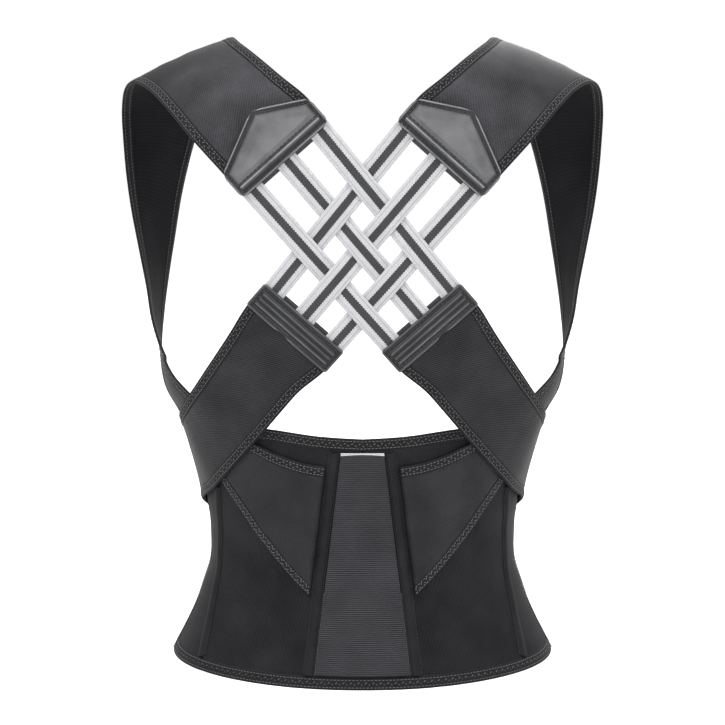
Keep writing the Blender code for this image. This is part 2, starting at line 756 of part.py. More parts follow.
def make_pull_strap_fronts(finish):
    """The length that stays on the wing, the free end that peels off, and the free end's hooks."""
    round_off = CORNER_ROUND * 2
    for side, sign in SIDES.items():
        fixed = pull_rows(SEAM_ANGLE + SEAM_SLIT, PEEL_ANGLE - PEEL_SLIT, 5)
        loose = pull_rows(PEEL_ANGLE + PEEL_SLIT, PULL_END - 4, 9)
        loose += pull_rows(PULL_END - 1, PULL_END - 1, 1, round_off * 0.3)
        loose += pull_rows(PULL_END, PULL_END, 1, round_off)
        for name, rows in ((f"pull_strap_front_{side}", fixed), (f"pull_strap_end_{side}", loose)):
            body_strip(name, rows, (0, 0), 5, lambda a: pull_lift(side, a), CLOTH, finish["knit"], sign)
        hooks = pull_rows(PEEL_ANGLE + 4, PULL_END - 3, 8, STRAP_BINDING)
        under = CLOTH + GAP
        body_strip(
            f"pull_strap_hooks_{side}", hooks, (0, 0), 4, lambda a: under + lap(side, a),
            PAD_THICK, finish["hook"], sign,
        )


for old in list(bpy.data.objects):
    bpy.data.objects.remove(old)
FINISH = all_materials()
make_back_of_belt(FINISH)
make_back_bindings(FINISH)
make_spine_panel(FINISH)
make_stays(FINISH)
make_anchor_bands(FINISH)
make_shoulder_straps(FINISH)
make_patches(FINISH)
make_bands(FINISH)
make_pull_straps(FINISH)
make_wings(FINISH)
make_closure(FINISH)
make_pull_strap_fronts(FINISH)
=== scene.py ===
import json
import math

import bpy
import numpy as np
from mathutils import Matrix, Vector


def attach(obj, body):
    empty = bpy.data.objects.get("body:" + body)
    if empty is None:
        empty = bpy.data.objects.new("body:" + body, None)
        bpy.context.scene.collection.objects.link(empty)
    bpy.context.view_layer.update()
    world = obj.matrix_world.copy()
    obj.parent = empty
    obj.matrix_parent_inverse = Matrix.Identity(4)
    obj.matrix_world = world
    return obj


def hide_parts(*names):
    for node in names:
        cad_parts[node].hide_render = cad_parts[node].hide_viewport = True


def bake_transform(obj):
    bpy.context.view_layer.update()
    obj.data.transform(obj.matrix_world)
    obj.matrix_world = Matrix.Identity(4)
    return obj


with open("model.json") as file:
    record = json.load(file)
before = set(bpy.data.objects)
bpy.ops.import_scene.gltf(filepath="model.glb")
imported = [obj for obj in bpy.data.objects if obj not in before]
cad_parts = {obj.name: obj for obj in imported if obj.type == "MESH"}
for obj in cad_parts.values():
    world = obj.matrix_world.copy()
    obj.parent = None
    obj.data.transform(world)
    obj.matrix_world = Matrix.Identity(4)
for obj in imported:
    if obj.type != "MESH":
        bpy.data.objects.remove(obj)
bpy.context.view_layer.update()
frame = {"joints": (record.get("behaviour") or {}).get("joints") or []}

# ---------------------------------------------------------------- back of the belt
# Two shaped back panels and two side panels of laminated power knit: a nylon face on thin foam.
# They are cut to the waist, butted edge to edge and overlocked, and their rims are pressed
# thinner where the binding tape folds over them. Lengths are in millimetres up to the mesh.
MM = 0.001
TURN = 2 * math.pi
SIDES = {"left": -1, "right": 1}
CLOTH, GAP = 2.2, 0.5
TAPE_WIDTH = 10.0
PRESSED = 1.5          # thickness of the cloth inside its binding
TAPE_COVER = 10.6      # the cloth is pressed as far as this from its edge
HEM_TO_FOLD = 1.1      # the cloth ends this far inside the fold of the tape

# The wearer's body: height, half width, depth behind and depth in front.
BODY = [
    (0, 166.0, 122.0, 117.0), (50, 142.5, 109.0, 108.0), (92, 131.0, 100.0, 101.0),
    (130, 133.0, 97.0, 100.0), (165, 137.5, 96.5, 102.0), (200, 148.5, 97.0, 105.0),
    (236, 165.0, 99.0, 109.0), (300, 172.0, 105.0, 114.0),
]
# The belt's top edge as (angle from the spine, height), and the side tubes' line the same way.
BELT_TOP = [
    (0, 208), (22, 210), (42, 214), (65, 216), (90, 207), (120, 186), (150, 168), (182, 160), (200, 160),
]
SIDE_TUBE = [(65.3, 12), (69.2, 42), (72.4, 78), (72.8, 108), (72.3, 130), (71.6, 156)]
SEAM_ANGLE = 90.0
KNIT_STEP = 2.4        # spacing of the mesh over the cloth


def through(stations, where):
    """Values on a smooth curve through (position, value...) stations, for an array of positions."""
    table = np.asarray(stations, float)
    at, values = table[:, 0], table[:, 1:]
    slopes = np.gradient(values, at, axis=0)
    where = np.clip(np.asarray(where, float), at[0], at[-1])
    i = np.clip(np.searchsorted(at, where) - 1, 0, len(at) - 2)
    step = (at[i + 1] - at[i])[..., None]
    t = (where - at[i])[..., None] / step
    ends = (2 * t**3 - 3 * t**2 + 1) * values[i] + (3 * t**2 - 2 * t**3) * values[i + 1]
    bends = (t**3 - 2 * t**2 + t) * slopes[i] + (t**3 - t**2) * slopes[i + 1]
    made = ends + bends * step
    return made if made.shape[-1] > 1 else made[..., 0]


def ramp(low, high, value):
    t = np.clip((value - low) / (high - low), 0, 1)
    return t * t * (3 - 2 * t)


def crease(angle, height):
    """Soft creases of the worn belt, in mm, the same for every layer that lies on it."""
    waist = np.exp(-(((height - 100) / 45) ** 2))
    slow = np.sin(np.radians(angle * 5.0) + height / 47) * np.sin(height / 19 + angle / 31)
    return 0.35 * slow + 0.45 * waist * np.sin(height / 6.5 + np.sin(np.radians(angle * 3)) * 1.6)


def worn(sign, angle, height, lift):
    """Points this far off the body and the level direction out of it there."""
    angle, height, lift = np.broadcast_arrays(angle, height, lift)
    half, back, front = np.moveaxis(through(BODY, height), -1, 0)
    s, c = np.sin(np.radians(angle)), np.cos(np.radians(angle))
    depth = np.where(c > 0, back, front)
    radius = 1 / np.hypot(s / half, c / depth)
    x, y = radius * s, -radius * c
    out_x, out_y = x / half**2, y / depth**2
    size = np.hypot(out_x, out_y)
    out_x, out_y = out_x / size, out_y / size
    lift = lift + crease(np.abs(angle), height)
    points = np.stack([sign * (x + lift * out_x), y + lift * out_y, height + 0 * x], -1)
    return points, np.stack([sign * out_x, out_y, 0 * x], -1)


def belt_top(angle):
    return through(BELT_TOP, np.abs(angle))


def spaced(length, step, rim=1.1):
    """Shares of a length, `step` mm apart and closer together in its two rims."""
    close = np.array([0.0, 0.1, 0.33, 0.65]) * rim
    middle = np.linspace(rim, length - rim, max(2, round(length / step)))
    return np.concatenate([close, middle, length - close[::-1]]) / length


def shaped_grid(name, points, uvs, finishes, reverse_from=None, marks=None):
    """A grid with its points laid where they belong, in mm, and its meeting edges merged.
    marks, where given, is a number a point for the material to read."""
    rows, columns = points.shape[:2]
    bpy.ops.object.select_all(action="DESELECT")
    bpy.ops.mesh.primitive_grid_add(x_subdivisions=columns - 1, y_subdivisions=rows - 1, size=1)
    made = bpy.context.object
    made.name = name
    mesh = made.data
    mesh.vertices.foreach_set("co", (points * MM).astype(np.float32).ravel())
    corners = np.empty(len(mesh.loops), np.int32)
    mesh.loops.foreach_get("vertex_index", corners)
    corner_uvs = (uvs * MM).reshape(-1, 2)[corners]
    mesh.uv_layers.active.data.foreach_set("uv", corner_uvs.astype(np.float32).ravel())
    for finish in finishes:
        mesh.materials.append(finish)
    if reverse_from is not None:
        reverse = np.tile(np.arange(columns - 1) >= reverse_from, rows - 1)
        mesh.polygons.foreach_set("material_index", reverse.astype(np.int32))
    if marks is not None:
        mark = mesh.attributes.new("mark", "FLOAT", "POINT")
        mark.data.foreach_set("value", marks.astype(np.float32).ravel())
    bpy.ops.object.mode_set(mode="EDIT")
    bpy.ops.mesh.select_all(action="SELECT")
    bpy.ops.mesh.remove_doubles(threshold=0.000001)
    bpy.ops.mesh.normals_make_consistent(inside=False)
    bpy.ops.object.mode_set(mode="OBJECT")
    bpy.ops.object.shade_smooth()
    return made


def run_length(points, axis):
    """How far each point lies along its row or column, in mm."""
    steps = np.linalg.norm(np.diff(points, axis=axis), axis=-1)
    pad = [(1, 0) if k == axis else (0, 0) for k in (0, 1)]
    return np.cumsum(np.pad(steps, pad), axis=axis)


def rim(distance, radius=1.1):
    """Share of the full thickness at this distance from a rounded rim."""
    return np.sqrt(np.maximum(0, 1 - (1 - np.clip(distance / radius, 0, 1)) ** 2))


def even(thick):
    """The same thickness all over."""
    return lambda side, end: thick + 0 * side


def cloth(name, chart, across, along, finishes, thick, relief=None, marks=None):
    """A closed piece of cloth and its flat size (width, length, area) in metres. chart gives
    the middle of the cloth and its direction for shares across and along."""
    s, b = np.meshgrid(across, along)
    middle, out = chart(s, b)
    u, v = run_length(middle, 1), run_length(middle, 0)
    side, end = np.minimum(u, u[:, -1:] - u), np.minimum(v, v[-1:] - v)
    half = (thick(side, end) / 2 * rim(side) * rim(end))[..., None] * out
    rise = 0 if relief is None else relief(u, v, side, end)[..., None] * out
    face, reverse = middle + rise + half, middle + rise * 0.5 - half
    reverse[[0, -1]] = face[[0, -1]]
    reverse[:, [0, -1]] = face[:, [0, -1]]
    ring = np.concatenate([face, reverse[:, -2::-1]], axis=1)
    uv = np.stack([u, v], -1)
    uvs = np.concatenate([uv, uv[:, -2::-1]], axis=1)
    marks = None if marks is None else np.concatenate([marks, marks[:, -2::-1]], axis=1)
    reverse_from = len(across) - 1 if len(finishes) > 1 else None
    made = shaped_grid(name, ring, uvs, finishes, reverse_from, marks)
    sides = np.linalg.norm(np.cross(np.diff(middle, axis=0)[:, 1:], np.diff(middle, axis=1)[1:]), axis=-1)
    size = (float(u.max()) * MM, float(v.max()) * MM, float(sides.sum()) * MM * MM)
    return made, size


def fixed(piece, bodies, nodes, at=None):
    """The piece rides on its body, or, given a place, has its transform baked in and is left unparented;
    either way it stands for CAD nodes, which are hidden.
    """
    if at is None:
        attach(piece, bodies)
    else:
        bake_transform(piece)
    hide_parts(*nodes)
    return piece


def declared(size):
    """Takes a piece's flat size: width, length and area in metres, and caps the area at width times length;
    the result is not kept.
    """
    width, length, area = size
    area = min(area, width * length)


class Field:
    """A number or colour that varies over a surface. Python's operators add Math nodes."""

    def __init__(self, tree, socket=None):
        self.tree, self.socket = tree, socket

    def node(self, kind, settings, sockets, out=0):
        """A node of this kind: its settings first, then the values or links of its sockets."""
        made = self.tree.nodes.new(kind)
        for key, value in settings.items():
            setattr(made, key, value)
        for key, value in sockets.items():
            if isinstance(value, Field):
                self.tree.links.new(value.socket, made.inputs[key])
            else:
                made.inputs[key].default_value = value
        return Field(self.tree, made.outputs[out])

    def maths(self, operation, one, two=0.0):
        return self.node("ShaderNodeMath", {"operation": operation}, {0: one, 1: two})

    def __add__(self, other):
        return self.maths("ADD", self, other)

    def __sub__(self, other):
        return self.maths("SUBTRACT", self, other)

    def __rsub__(self, other):
        return self.maths("SUBTRACT", other, self)

    def __mul__(self, other):
        return self.maths("MULTIPLY", self, other)

    def __truediv__(self, other):
        return self.maths("DIVIDE", self, other)

    def __mod__(self, other):
        return self.maths("FLOORED_MODULO", self, other)

    __radd__, __rmul__ = __add__, __mul__

    def wave(self):
        """0 to 1 and back over each whole number."""
        return self.maths("SINE", self * TURN) * 0.5 + 0.5

    def step(self, low, high):
        """0 below low, 1 above high, smooth in between; the other way round if low is more."""
        if low > high:
            return 1 - self.step(high, low)
        return self.node(
            "ShaderNodeMapRange", {"interpolation_type": "SMOOTHSTEP"},
            {"Value": self, "From Min": low, "From Max": high},
        )

    def between(self, one, two):
        """The colour `one` where this is 0 and `two` where it is 1."""
        one, two = (c if isinstance(c, Field) else (*c, 1) for c in (one, two))
        return self.node("ShaderNodeMix", {"data_type": "RGBA"}, {0: self, 6: one, 7: two}, 2)


class Finish:
    """A material in the making: Principled shader constants first, then what varies."""

    def __init__(self, name, **constants):
        self.material = bpy.data.materials.new(name)
        self.material.use_nodes = True
        self.tree = self.material.node_tree
        self.shader = self.tree.nodes["Principled BSDF"]
        for key, value in constants.items():
            self.shader.inputs[key.replace("_", " ")].default_value = value
        self.any = Field(self.tree)
        self.place = self.any.node("ShaderNodeTexCoord", {}, {}, "Object")

    def uv(self):
        """Metres across and metres along the piece."""
        flat = self.any.node("ShaderNodeTexCoord", {}, {}, "UV")
        return tuple(self.any.node("ShaderNodeSeparateXYZ", {}, {0: flat}, k) for k in (0, 1))

    def noise(self, size, detail=2.0, vector=None):
        """Cloudy noise, 0 to 1, with features of this size in metres."""
        at = self.place if vector is None else vector
        return self.any.node("ShaderNodeTexNoise", {}, {"Vector": at, "Scale": 1 / size, "Detail": detail})

    def give(self, socket, field):
        self.tree.links.new(field.socket, self.shader.inputs[socket])

    def bump(self, height, deep, strength=1.0):
        """Relief from a height of 0 to 1 that stands for `deep` metres."""
        sockets = {"Strength": strength, "Distance": deep, "Height": height}
        bumped = self.any.node("ShaderNodeBump", {}, sockets)
        self.give("Normal", bumped)


SHADED_STRAP_SHARE = 0.42       # share of the light colour kept where the strap cloth is painted darker as shade, below the shoulder


def knit(name, dark, light, pitch, lean, deep, shine=0.1, rough=0.75, painted_light_from=None):
    """Warp knit: fine slanting wales crossed by courses, in metres of pitch. Where a length in metres
    along the piece is given, the cloth is painted darker before it, a painted shade, and paler past it,
    a painted highlight for the light from above on the shoulder."""
    look = Finish(name, Specular_IOR_Level=shine, Sheen_Weight=0.02, Sheen_Roughness=0.4)
    u, v = look.uv()
    wale = ((u * math.cos(lean) + v * math.sin(lean)) / pitch).wave()
    course = ((v * math.cos(lean) - u * math.sin(lean)) / (pitch * 1.35)).wave()
    fibre = look.noise(0.0007, 3)
    cloud = look.noise(0.035, 3)
    loop = wale * 0.55 + course * wale * 0.45
    height = loop * 0.8 + fibre * 0.5
    shade = loop * 0.62 + fibre * 0.55 + (cloud - 0.5) * 0.7
    colour = shade.step(0.1, 1.15).between(dark, light)
    # painted light: darker as painted shade up to the given length along the piece, paler as a painted
    # highlight past it
    if painted_light_from:
        painted_shade_colour = shade.step(0.1, 1.15).between(dark, [c * SHADED_STRAP_SHARE for c in light])
        colour = v.step(painted_light_from, painted_light_from + 0.14).between(painted_shade_colour, colour)
    look.give("Base Color", colour)
    look.give("Roughness", rough - loop * 0.22 + fibre * 0.1)
    look.bump(height, deep)
    return look.material


BELT_KNIT = knit("belt_knit", (0.0008, 0.0008, 0.0012), (0.0165, 0.0160, 0.0190), 0.00125, 0.10, 0.00016)
LINING = knit("soft_lining", (0.0006, 0.0006, 0.0010), (0.0072, 0.0070, 0.0090), 0.0016, 0.78, 0.00010)


def steady(angle):
    """The same angle all the way up the belt."""
    return lambda b: angle + 0 * b


def side_seam(share):
    table = [(height, angle) for angle, height in SIDE_TUBE]
    return through(table, belt_top(70) * share)


def belt_chart(sign, start, end, low, high, lift=lambda angle: 0.0):
    """A belt panel between two angles and two heights, each a function of the other."""
    def chart(s, b):
        angle = start(b) * (1 - s) + end(b) * s
        height = low(angle) * (1 - b) + high(angle) * b
        return worn(sign, angle, height, lift(angle) + CLOTH / 2)
    return chart


def above_hem(angle):
    return HEM_TO_FOLD + 0 * angle


def below_top(angle):
    return belt_top(angle) - HEM_TO_FOLD


def bound_ends(side, end):
    """Pressed thin inside the bindings at both ends, and drawn in a little at the side seams."""
    pressed = PRESSED + (CLOTH - PRESSED) * ramp(TAPE_COVER - 0.6, TAPE_COVER + 1.4, end + HEM_TO_FOLD)
    return pressed * (0.82 + 0.18 * ramp(0, 3, side))


def pulled(u, v, side, end):
    """Puckers that the binding's stitches pull into the cloth beside them."""
    near = ramp(26, 11, end) * ramp(8.0, 12.0, end)
    return 0.10 * near * np.sin(u / 1.9) * (0.6 + 0.4 * np.sin(u / 13))


for side, sign in SIDES.items():
    for kind, start, end, width in (
        ("back_panel", steady(0.0), side_seam, 165), ("side_panel", side_seam, steady(SEAM_ANGLE), 45),
    ):
        panel, size = cloth(
            f"{kind}_cloth_{side}", belt_chart(sign, start, end, above_hem, below_top),
            spaced(width, KNIT_STEP), spaced(205, KNIT_STEP), [BELT_KNIT, LINING], bound_ends, pulled,
        )
        fixed(panel, "back_and_harness", [f"{kind}_{side}"])
        declared(size)

# ---------------------------------------------------------------- bindings of the back of the belt
# Elastic tape, 10 mm wide a side, folded over the raw hem and the raw top edge and sewn down
# through all layers with a coverstitch: two needle rows and a zigzag of looper thread between.
TAPE_THICK = 0.4
TAPE_STAND = 0.98      # the tape's middle stands this far off the cloth's middle
NEEDLE_ROWS = (2.2, 8.2)
STITCH_PITCH, STITCH_LONG = 3.1, 2.3
FOLD_TURN, FOLD_FLAT = 1.6, 8.6        # where the fold starts to turn, and the flat part beyond


def tape(name, dark, light):
    """Closely woven elastic tape with fine ribs along it."""
    look = Finish(name, Specular_IOR_Level=0.12, Sheen_Weight=0.02, Sheen_Roughness=0.5)
    u, v = look.uv()
    rib = (u / 0.0011).wave()
    weft = (v / 0.0009 + (u / 0.0011) * 0.5).wave()
    fibre = look.noise(0.0006, 3)
    cloud = look.noise(0.02, 3)
    shade = rib * 0.35 + weft * rib * 0.35 + fibre * 0.5 + (cloud - 0.5) * 0.6
    look.give("Base Color", shade.step(0.1, 1.1).between(dark, light))
    look.give("Roughness", fibre * 0.2 + 0.6)
    look.bump(rib * 0.6 + weft * 0.4 + fibre * 0.3, 0.00014)
    return look.material


def thread(name, colour):
    """Spun polyester thread: a fine twist along each stitch."""
    look = Finish(name, Specular_IOR_Level=0.35, Sheen_Weight=0.1)
    twist = look.noise(0.0005, 2)
    look.give("Base Color", twist.step(0.2, 0.8).between([c * 0.6 for c in colour], colour))
    look.give("Roughness", twist * 0.2 + 0.45)
    look.bump(twist, 0.00008)
    return look.material


TAPE = tape("binding_tape_weave", (0.0007, 0.0007, 0.0010), (0.0135, 0.0132, 0.0150))
GREY_THREAD = thread("grey_thread", (0.085, 0.085, 0.090))
BLACK_THREAD = thread("black_thread", (0.0035, 0.0035, 0.0040))

bpy.ops.object.select_all(action="DESELECT")
bpy.ops.mesh.primitive_uv_sphere_add(segments=6, ring_count=5, radius=0.5)
pattern = bpy.context.object
STITCH_POINTS = np.array([v.co for v in pattern.data.vertices])
STITCH_FACES = [tuple(p.vertices) for p in pattern.data.polygons]
bpy.data.objects.remove(pattern)


def sewn(
    name, runs, finish, pitch=STITCH_PITCH, long=STITCH_LONG, wide=0.62, body="back_and_harness", at=None,
):
    """Stitches as one mesh. Each run is (points, directions out, slant, shift): a row of
    stitches along the points, turned by the slant one way and the other, moved by the shift."""
    centres, axes = [], []
    for points, out, slant, shift in runs:
        length = run_length(points[:, None], 0)[:, 0]
        where = np.arange(pitch / 2, length[-1], pitch)

        def on_run(values, at, length=length):
            return np.stack([np.interp(at, length, values[:, k]) for k in range(3)], -1)

        here, up = on_run(points, where), on_run(out, where)
        along = on_run(points, where + 0.5) - on_run(points, where - 0.5)
        along /= np.linalg.norm(along, axis=1)[:, None]
        beside = np.cross(along, up)
        beside /= np.linalg.norm(beside, axis=1)[:, None]
        turn = np.where(np.arange(len(where)) % 2, 1, -1)[:, None]
        here = here + beside * turn * shift
        turn = turn * math.radians(slant)
        turned_along = along * np.cos(turn) + beside * np.sin(turn)
        turned_beside = beside * np.cos(turn) - along * np.sin(turn)
        centres.append(here)
        axes.append(np.stack([turned_beside * wide, up * wide, turned_along * long], 1))
    centres, axes = np.concatenate(centres), np.concatenate(axes)
    points = (centres[:, None] + STITCH_POINTS @ axes) * MM
    count = len(STITCH_POINTS)
    faces = [tuple(k * count + i for i in face) for k in range(len(centres)) for face in STITCH_FACES]
    mesh = bpy.data.meshes.new(name)
    mesh.from_pydata(points.reshape(-1, 3).tolist(), [], faces)
    mesh.materials.append(finish)
    mesh.shade_smooth()
    made = bpy.data.objects.new(name, mesh)
    bpy.context.scene.collection.objects.link(made)
    return fixed(made, body, [], at)


# Across the fold, from the outer face round to the inner one: distance from the edge, height.
FOLD = [
    (10.2, 0.86), (9.7, 0.98), (9.0, 1.02), (8.2, 0.90), (7.4, 1.04), (6.2, 1.10), (5.2, 1.12), (4.2, 1.10),
    (3.0, 1.04), (2.2, 0.90), (FOLD_TURN, 0.97),
]
FOLD += [(1.2 - math.sin(math.radians(a)), 0.98 * math.cos(math.radians(a))) for a in (25, 55, 90, 125, 155)]
FOLD += [(x, -h) for x, h in FOLD[10::-1]]


def section(path, thick, turn=1):
    """The closed outline of a strip bent along a path of (aside, height), and the height of
    the strip's middle at each of its points."""
    run = np.gradient(path, axis=0)
    across = np.stack([run[:, 1], -run[:, 0]], -1) * turn
    across /= np.linalg.norm(across, axis=1)[:, None]
    half = np.full((len(path), 1), thick / 2)
    half[[0, -1]] = 0
    ring = np.concatenate([path + across * half, (path - across * half)[-2::-1]])
    return ring, np.concatenate([path, path[-2::-1]])[:, 1]


def strip(name, path, ring, points, finish):
    """The closed mesh of a strip with this section, and its length in mm."""
    points[[0, -1], len(path):] = points[[0, -1], len(path) - 2::-1]
    v = run_length(points, 0)
    u = np.broadcast_to(run_length(np.pad(ring, ((0, 0), (0, 1)))[None], 1), v.shape)
    made = shaped_grid(name, points, np.stack([u, v], -1), [finish])
    return made, float(v[:, len(path) // 2].max())


def heights(ring, core, shape):
    """Heights over the whole strip, closed to its middle at both ends."""
    height = np.broadcast_to(ring[:, 1], shape).copy()
    height[[0, -1]] = core
    return height


def folded_tape(name, edge, along, width):
    """Tape folded over an edge. edge gives the cloth's middle and its direction for a distance
    from the edge in mm and a share along it."""
    path = np.array(FOLD)
    stretch = (width - TAPE_WIDTH + FOLD_FLAT) / FOLD_FLAT
    beyond = path[:, 0] > FOLD_TURN
    path[:, 0] = np.where(beyond, FOLD_TURN + (path[:, 0] - FOLD_TURN) * stretch, path[:, 0])
    ring, core = section(path, TAPE_THICK)
    x, b = np.meshgrid(ring[:, 0], along)
    middle, out = edge(x, b)
    points = middle + out * heights(ring, core, x.shape)[..., None]
    made, length = strip(name, path, ring, points, TAPE)
    flat = 2 * width + 2
    return made, (flat * MM, length * MM, flat * length * MM * MM)


def coverstitch(name, edge, width, body, at, share):
    """Both needle rows on each face, and the looper zigzag between them on the outer face."""
    b = np.linspace(*share, 260)
    runs = []
    low, high = NEEDLE_ROWS[0], NEEDLE_ROWS[1] + width - TAPE_WIDTH
    for face in (1, -1):
        rows = [(low, 0, 0, 1.10), (high, 0, 0, 1.10)]
        rows += [((low + high) / 2, 38, 0.75, 1.30)] if face == 1 else []
        for x, slant, shift, height in rows:
            middle, out = edge(np.full(b.shape, x), b)
            runs.append((middle + out * face * height, out * face, slant, shift))
    return sewn(name, runs, GREY_THREAD, body=body, at=at)


def bind(
    tape_name, seam_name, edge, along, width, nodes, body="back_and_harness", at=None, share=(0.0, 1.0),
):
    """Tape folded over an edge and sewn down on both faces."""
    band, size = folded_tape(tape_name, edge, along, width)
    fixed(band, body, nodes, at)
    seam = coverstitch(seam_name, edge, width, body, at, share)
    declared(size)


def hem_edge(x, b):
    angle = (b * 2 - 1) * (SEAM_ANGLE - 0.01)
    return worn(1, angle, x, CLOTH / 2)


def top_edge(x, b):
    angle = (b * 2 - 1) * (SEAM_ANGLE - 0.01)
    return worn(1, angle, belt_top(angle) - x, CLOTH / 2)


for where, edge in (("hem", hem_edge), ("top", top_edge)):
    bind(
        f"{where}_tape_back", f"{where}_tape_back_stitching", edge, spaced(440, 3.0), TAPE_WIDTH,
        [f"{where}_binding_back"],
    )

# ---------------------------------------------------------------- spine panel
# A tapering panel of ribbed elastic over the spine, sewn in under the tubes of the spine stays.
# Its ribs run level, and its top is a turned edge with a bright selvedge.
SPINE_TOP_HALF, SPINE_FOOT_HALF = 18.5, 40.5
SPINE_TOP, SPINE_FOOT = 196.5, 11.5
EDGE_GAP = 0.4
TUBE_WIDTH = 10.0
RIB_PITCH = 0.0017


def ribbed(name, long):
    look = Finish(name, Specular_IOR_Level=0.16, Sheen_Weight=0.02, Sheen_Roughness=0.4)
    u, v = look.uv()
    drift = look.noise(0.006, 2)
    rib = (v / RIB_PITCH + drift * 0.55).wave()
    yarn = (u / 0.0008 + drift).wave()
    fibre = look.noise(0.0006, 3)
    cloud = look.noise(0.03, 3)
    shade = rib * 0.55 + yarn * rib * 0.2 + fibre * 0.5 + (cloud - 0.5) * 0.5
    body = shade.step(0.1, 1.15).between((0.0022, 0.0022, 0.0027), (0.030, 0.0295, 0.034))
    bright = v.step(long - 0.0015, long - 0.0012)
    look.give("Base Color", bright.between(body, (0.30, 0.30, 0.31)))
    look.give("Roughness", fibre * 0.2 + 0.5)
    look.bump(rib + yarn * 0.25 + fibre * 0.3, 0.00022)
    return look.material


def spine_edge(height):
    share = (height - SPINE_FOOT) / (SPINE_TOP - SPINE_FOOT)
    return SPINE_FOOT_HALF * (1 - share) + SPINE_TOP_HALF * share


def angle_at(x, height, lift):
    """The angle at which the body, lifted, is `x` mm to the side of the spine."""
    half, back, _ = np.moveaxis(through(BODY, height), -1, 0)
    y = -(back + lift) * np.sqrt(np.maximum(0, 1 - (x / (half + lift)) ** 2))
    return np.degrees(np.arctan2(x, -y))


def spine_chart(s, b):
    height = SPINE_FOOT + (SPINE_TOP - SPINE_FOOT) * b
    x = (spine_edge(height) - EDGE_GAP) * (2 * s - 1)
    base = CLOTH + GAP
    return worn(1, angle_at(x, height, base), height, base + 0.85)


def elastic_thick(side, end):
    return 1.5 - 0.5 * ramp(3, 0, end)


spine_line, _ = spine_chart(np.full((80, 1), 0.5), np.linspace(0, 1, 80)[:, None])
RIBBED = ribbed("ribbed_elastic_weave", float(run_length(spine_line, 0)[-1, 0]) * MM)
panel, size = cloth(
    "spine_panel_elastic", spine_chart, spaced(68, 2.0, 0.8), spaced(185, 1.6, 0.8), [RIBBED], elastic_thick,
)
fixed(panel, "back_and_harness", ["spine_panel"])
declared(size)

# ---------------------------------------------------------------- stays and their tubes
# Four flat spring-steel stays, two beside the spine and two at the sides, each in a tube of
# tape that is sewn down along both its edges. A thin piping closes the spine tubes outside.
STAY_WIDE, STAY_THICK = 5.6, 0.9
TUBE_TAPE = 0.5
TUBE_SEAM = 4.15       # the rows of stitches lie this far from the tube's middle
PIPING_ASIDE, PIPING_RADIUS, PIPING_SHARE = 5.45, 0.45, 0.36
TUBE_MESH = 185        # length that the mesh along a tube is spaced for
TUBE_RISE = 1.55
TUBE_FOLD = [
    (-5.0, -0.20), (-4.4, -0.14), (-3.9, -0.14), (-3.4, 0.35), (-2.7, 1.05), (-1.6, TUBE_RISE),
    (0, TUBE_RISE + 0.1),
]
TUBE_FOLD += [(-x, h) for x, h in TUBE_FOLD[5::-1]]


def steel(name):
    look = Finish(name, Metallic=1.0, Specular_IOR_Level=0.5)
    brushed = look.noise(0.004, 4)
    look.give("Base Color", brushed.between((0.36, 0.37, 0.39), (0.58, 0.59, 0.61)))
    look.give("Roughness", brushed * 0.2 + 0.22)
    look.bump(brushed, 0.00002)
    return look.material


def piping(name):
    look = Finish(name, Specular_IOR_Level=0.6, Coat_Roughness=0.3)
    u, v = look.uv()
    turn = (v / 0.0012 + u / 0.0015).wave()
    fibre = look.noise(0.0008, 2)
    shade = turn * 0.6 + fibre * 0.5
    look.give("Base Color", shade.step(0.1, 1.0).between((0.010, 0.010, 0.011), (0.075, 0.075, 0.080)))
    look.give("Roughness", fibre * 0.2 + 0.34)
    look.bump(turn, 0.0001)
    return look.material


STEEL = steel("spring_steel_strip")
PIPING = piping("satin_piping")


def beside(path, x, b):
    """(angle, height) at x mm beside a path of (angle, height) on the body, b along it."""
    table = np.column_stack([np.linspace(0, 1, len(path)), path])
    small = 0.25 / (len(path) - 1)
    angle, height = np.moveaxis(through(table, b), -1, 0)
    run = through(table, b + small) - through(table, b - small)
    at, _ = worn(1, angle, height, 0.0)
    radius = np.hypot(at[..., 0], at[..., 1])
    run_angle, run_height = np.radians(run[..., 0]) * radius, run[..., 1]
    size = np.hypot(run_angle, run_height)
    return angle - np.degrees(run_height / size * x / radius), height + run_angle / size * x


def taped_tube(name, path, sign, fold, thick, finish):
    """Tape shaped by a section (distance aside, height) and run along a path on the body."""
    fold = np.array(fold, float)
    ring, core = section(fold, thick, -1)
    x, b = np.meshgrid(ring[:, 0], spaced(TUBE_MESH, 3.0, 0.5))
    angle, level = beside(path, x, b)
    points, _ = worn(sign, angle, level, CLOTH + GAP + heights(ring, core, x.shape))
    made, long = strip(name, fold, ring, points, finish)
    wide = float(np.linalg.norm(np.diff(fold, axis=0), axis=1).sum())
    return made, (wide * MM, long * MM, wide * long * MM * MM)


def two_rows(name, path, sign, aside, lift, ends, **how):
    """A row of stitches on each side of a path on the body."""
    b = np.linspace(*ends, 120)
    runs = [(*worn(sign, *beside(path, np.full(b.shape, x), b), lift), 0, 0) for x in (-aside, aside)]
    return sewn(name, runs, BLACK_THREAD, **how)


def cord_round(name, path, sign, radius, x, lift, finish, share):
    """A thin round piping beside the first share of a path on the body, with rounded ends."""
    turns = np.linspace(0, TURN, 11)
    along = spaced(TUBE_MESH, 2.5, radius)
    shrink = rim(np.minimum(along, 1 - along) * TUBE_MESH, radius)[:, None]
    aside, b = np.meshgrid(np.cos(turns) * radius, along * share)
    angle, level = beside(path, x + aside * shrink, b)
    points, _ = worn(sign, angle, level, lift + np.sin(turns)[None] * radius * shrink)
    v = run_length(points, 0)
    u = np.broadcast_to(turns * radius, v.shape)
    return shaped_grid(name, points, np.stack([u, v], -1), [finish])


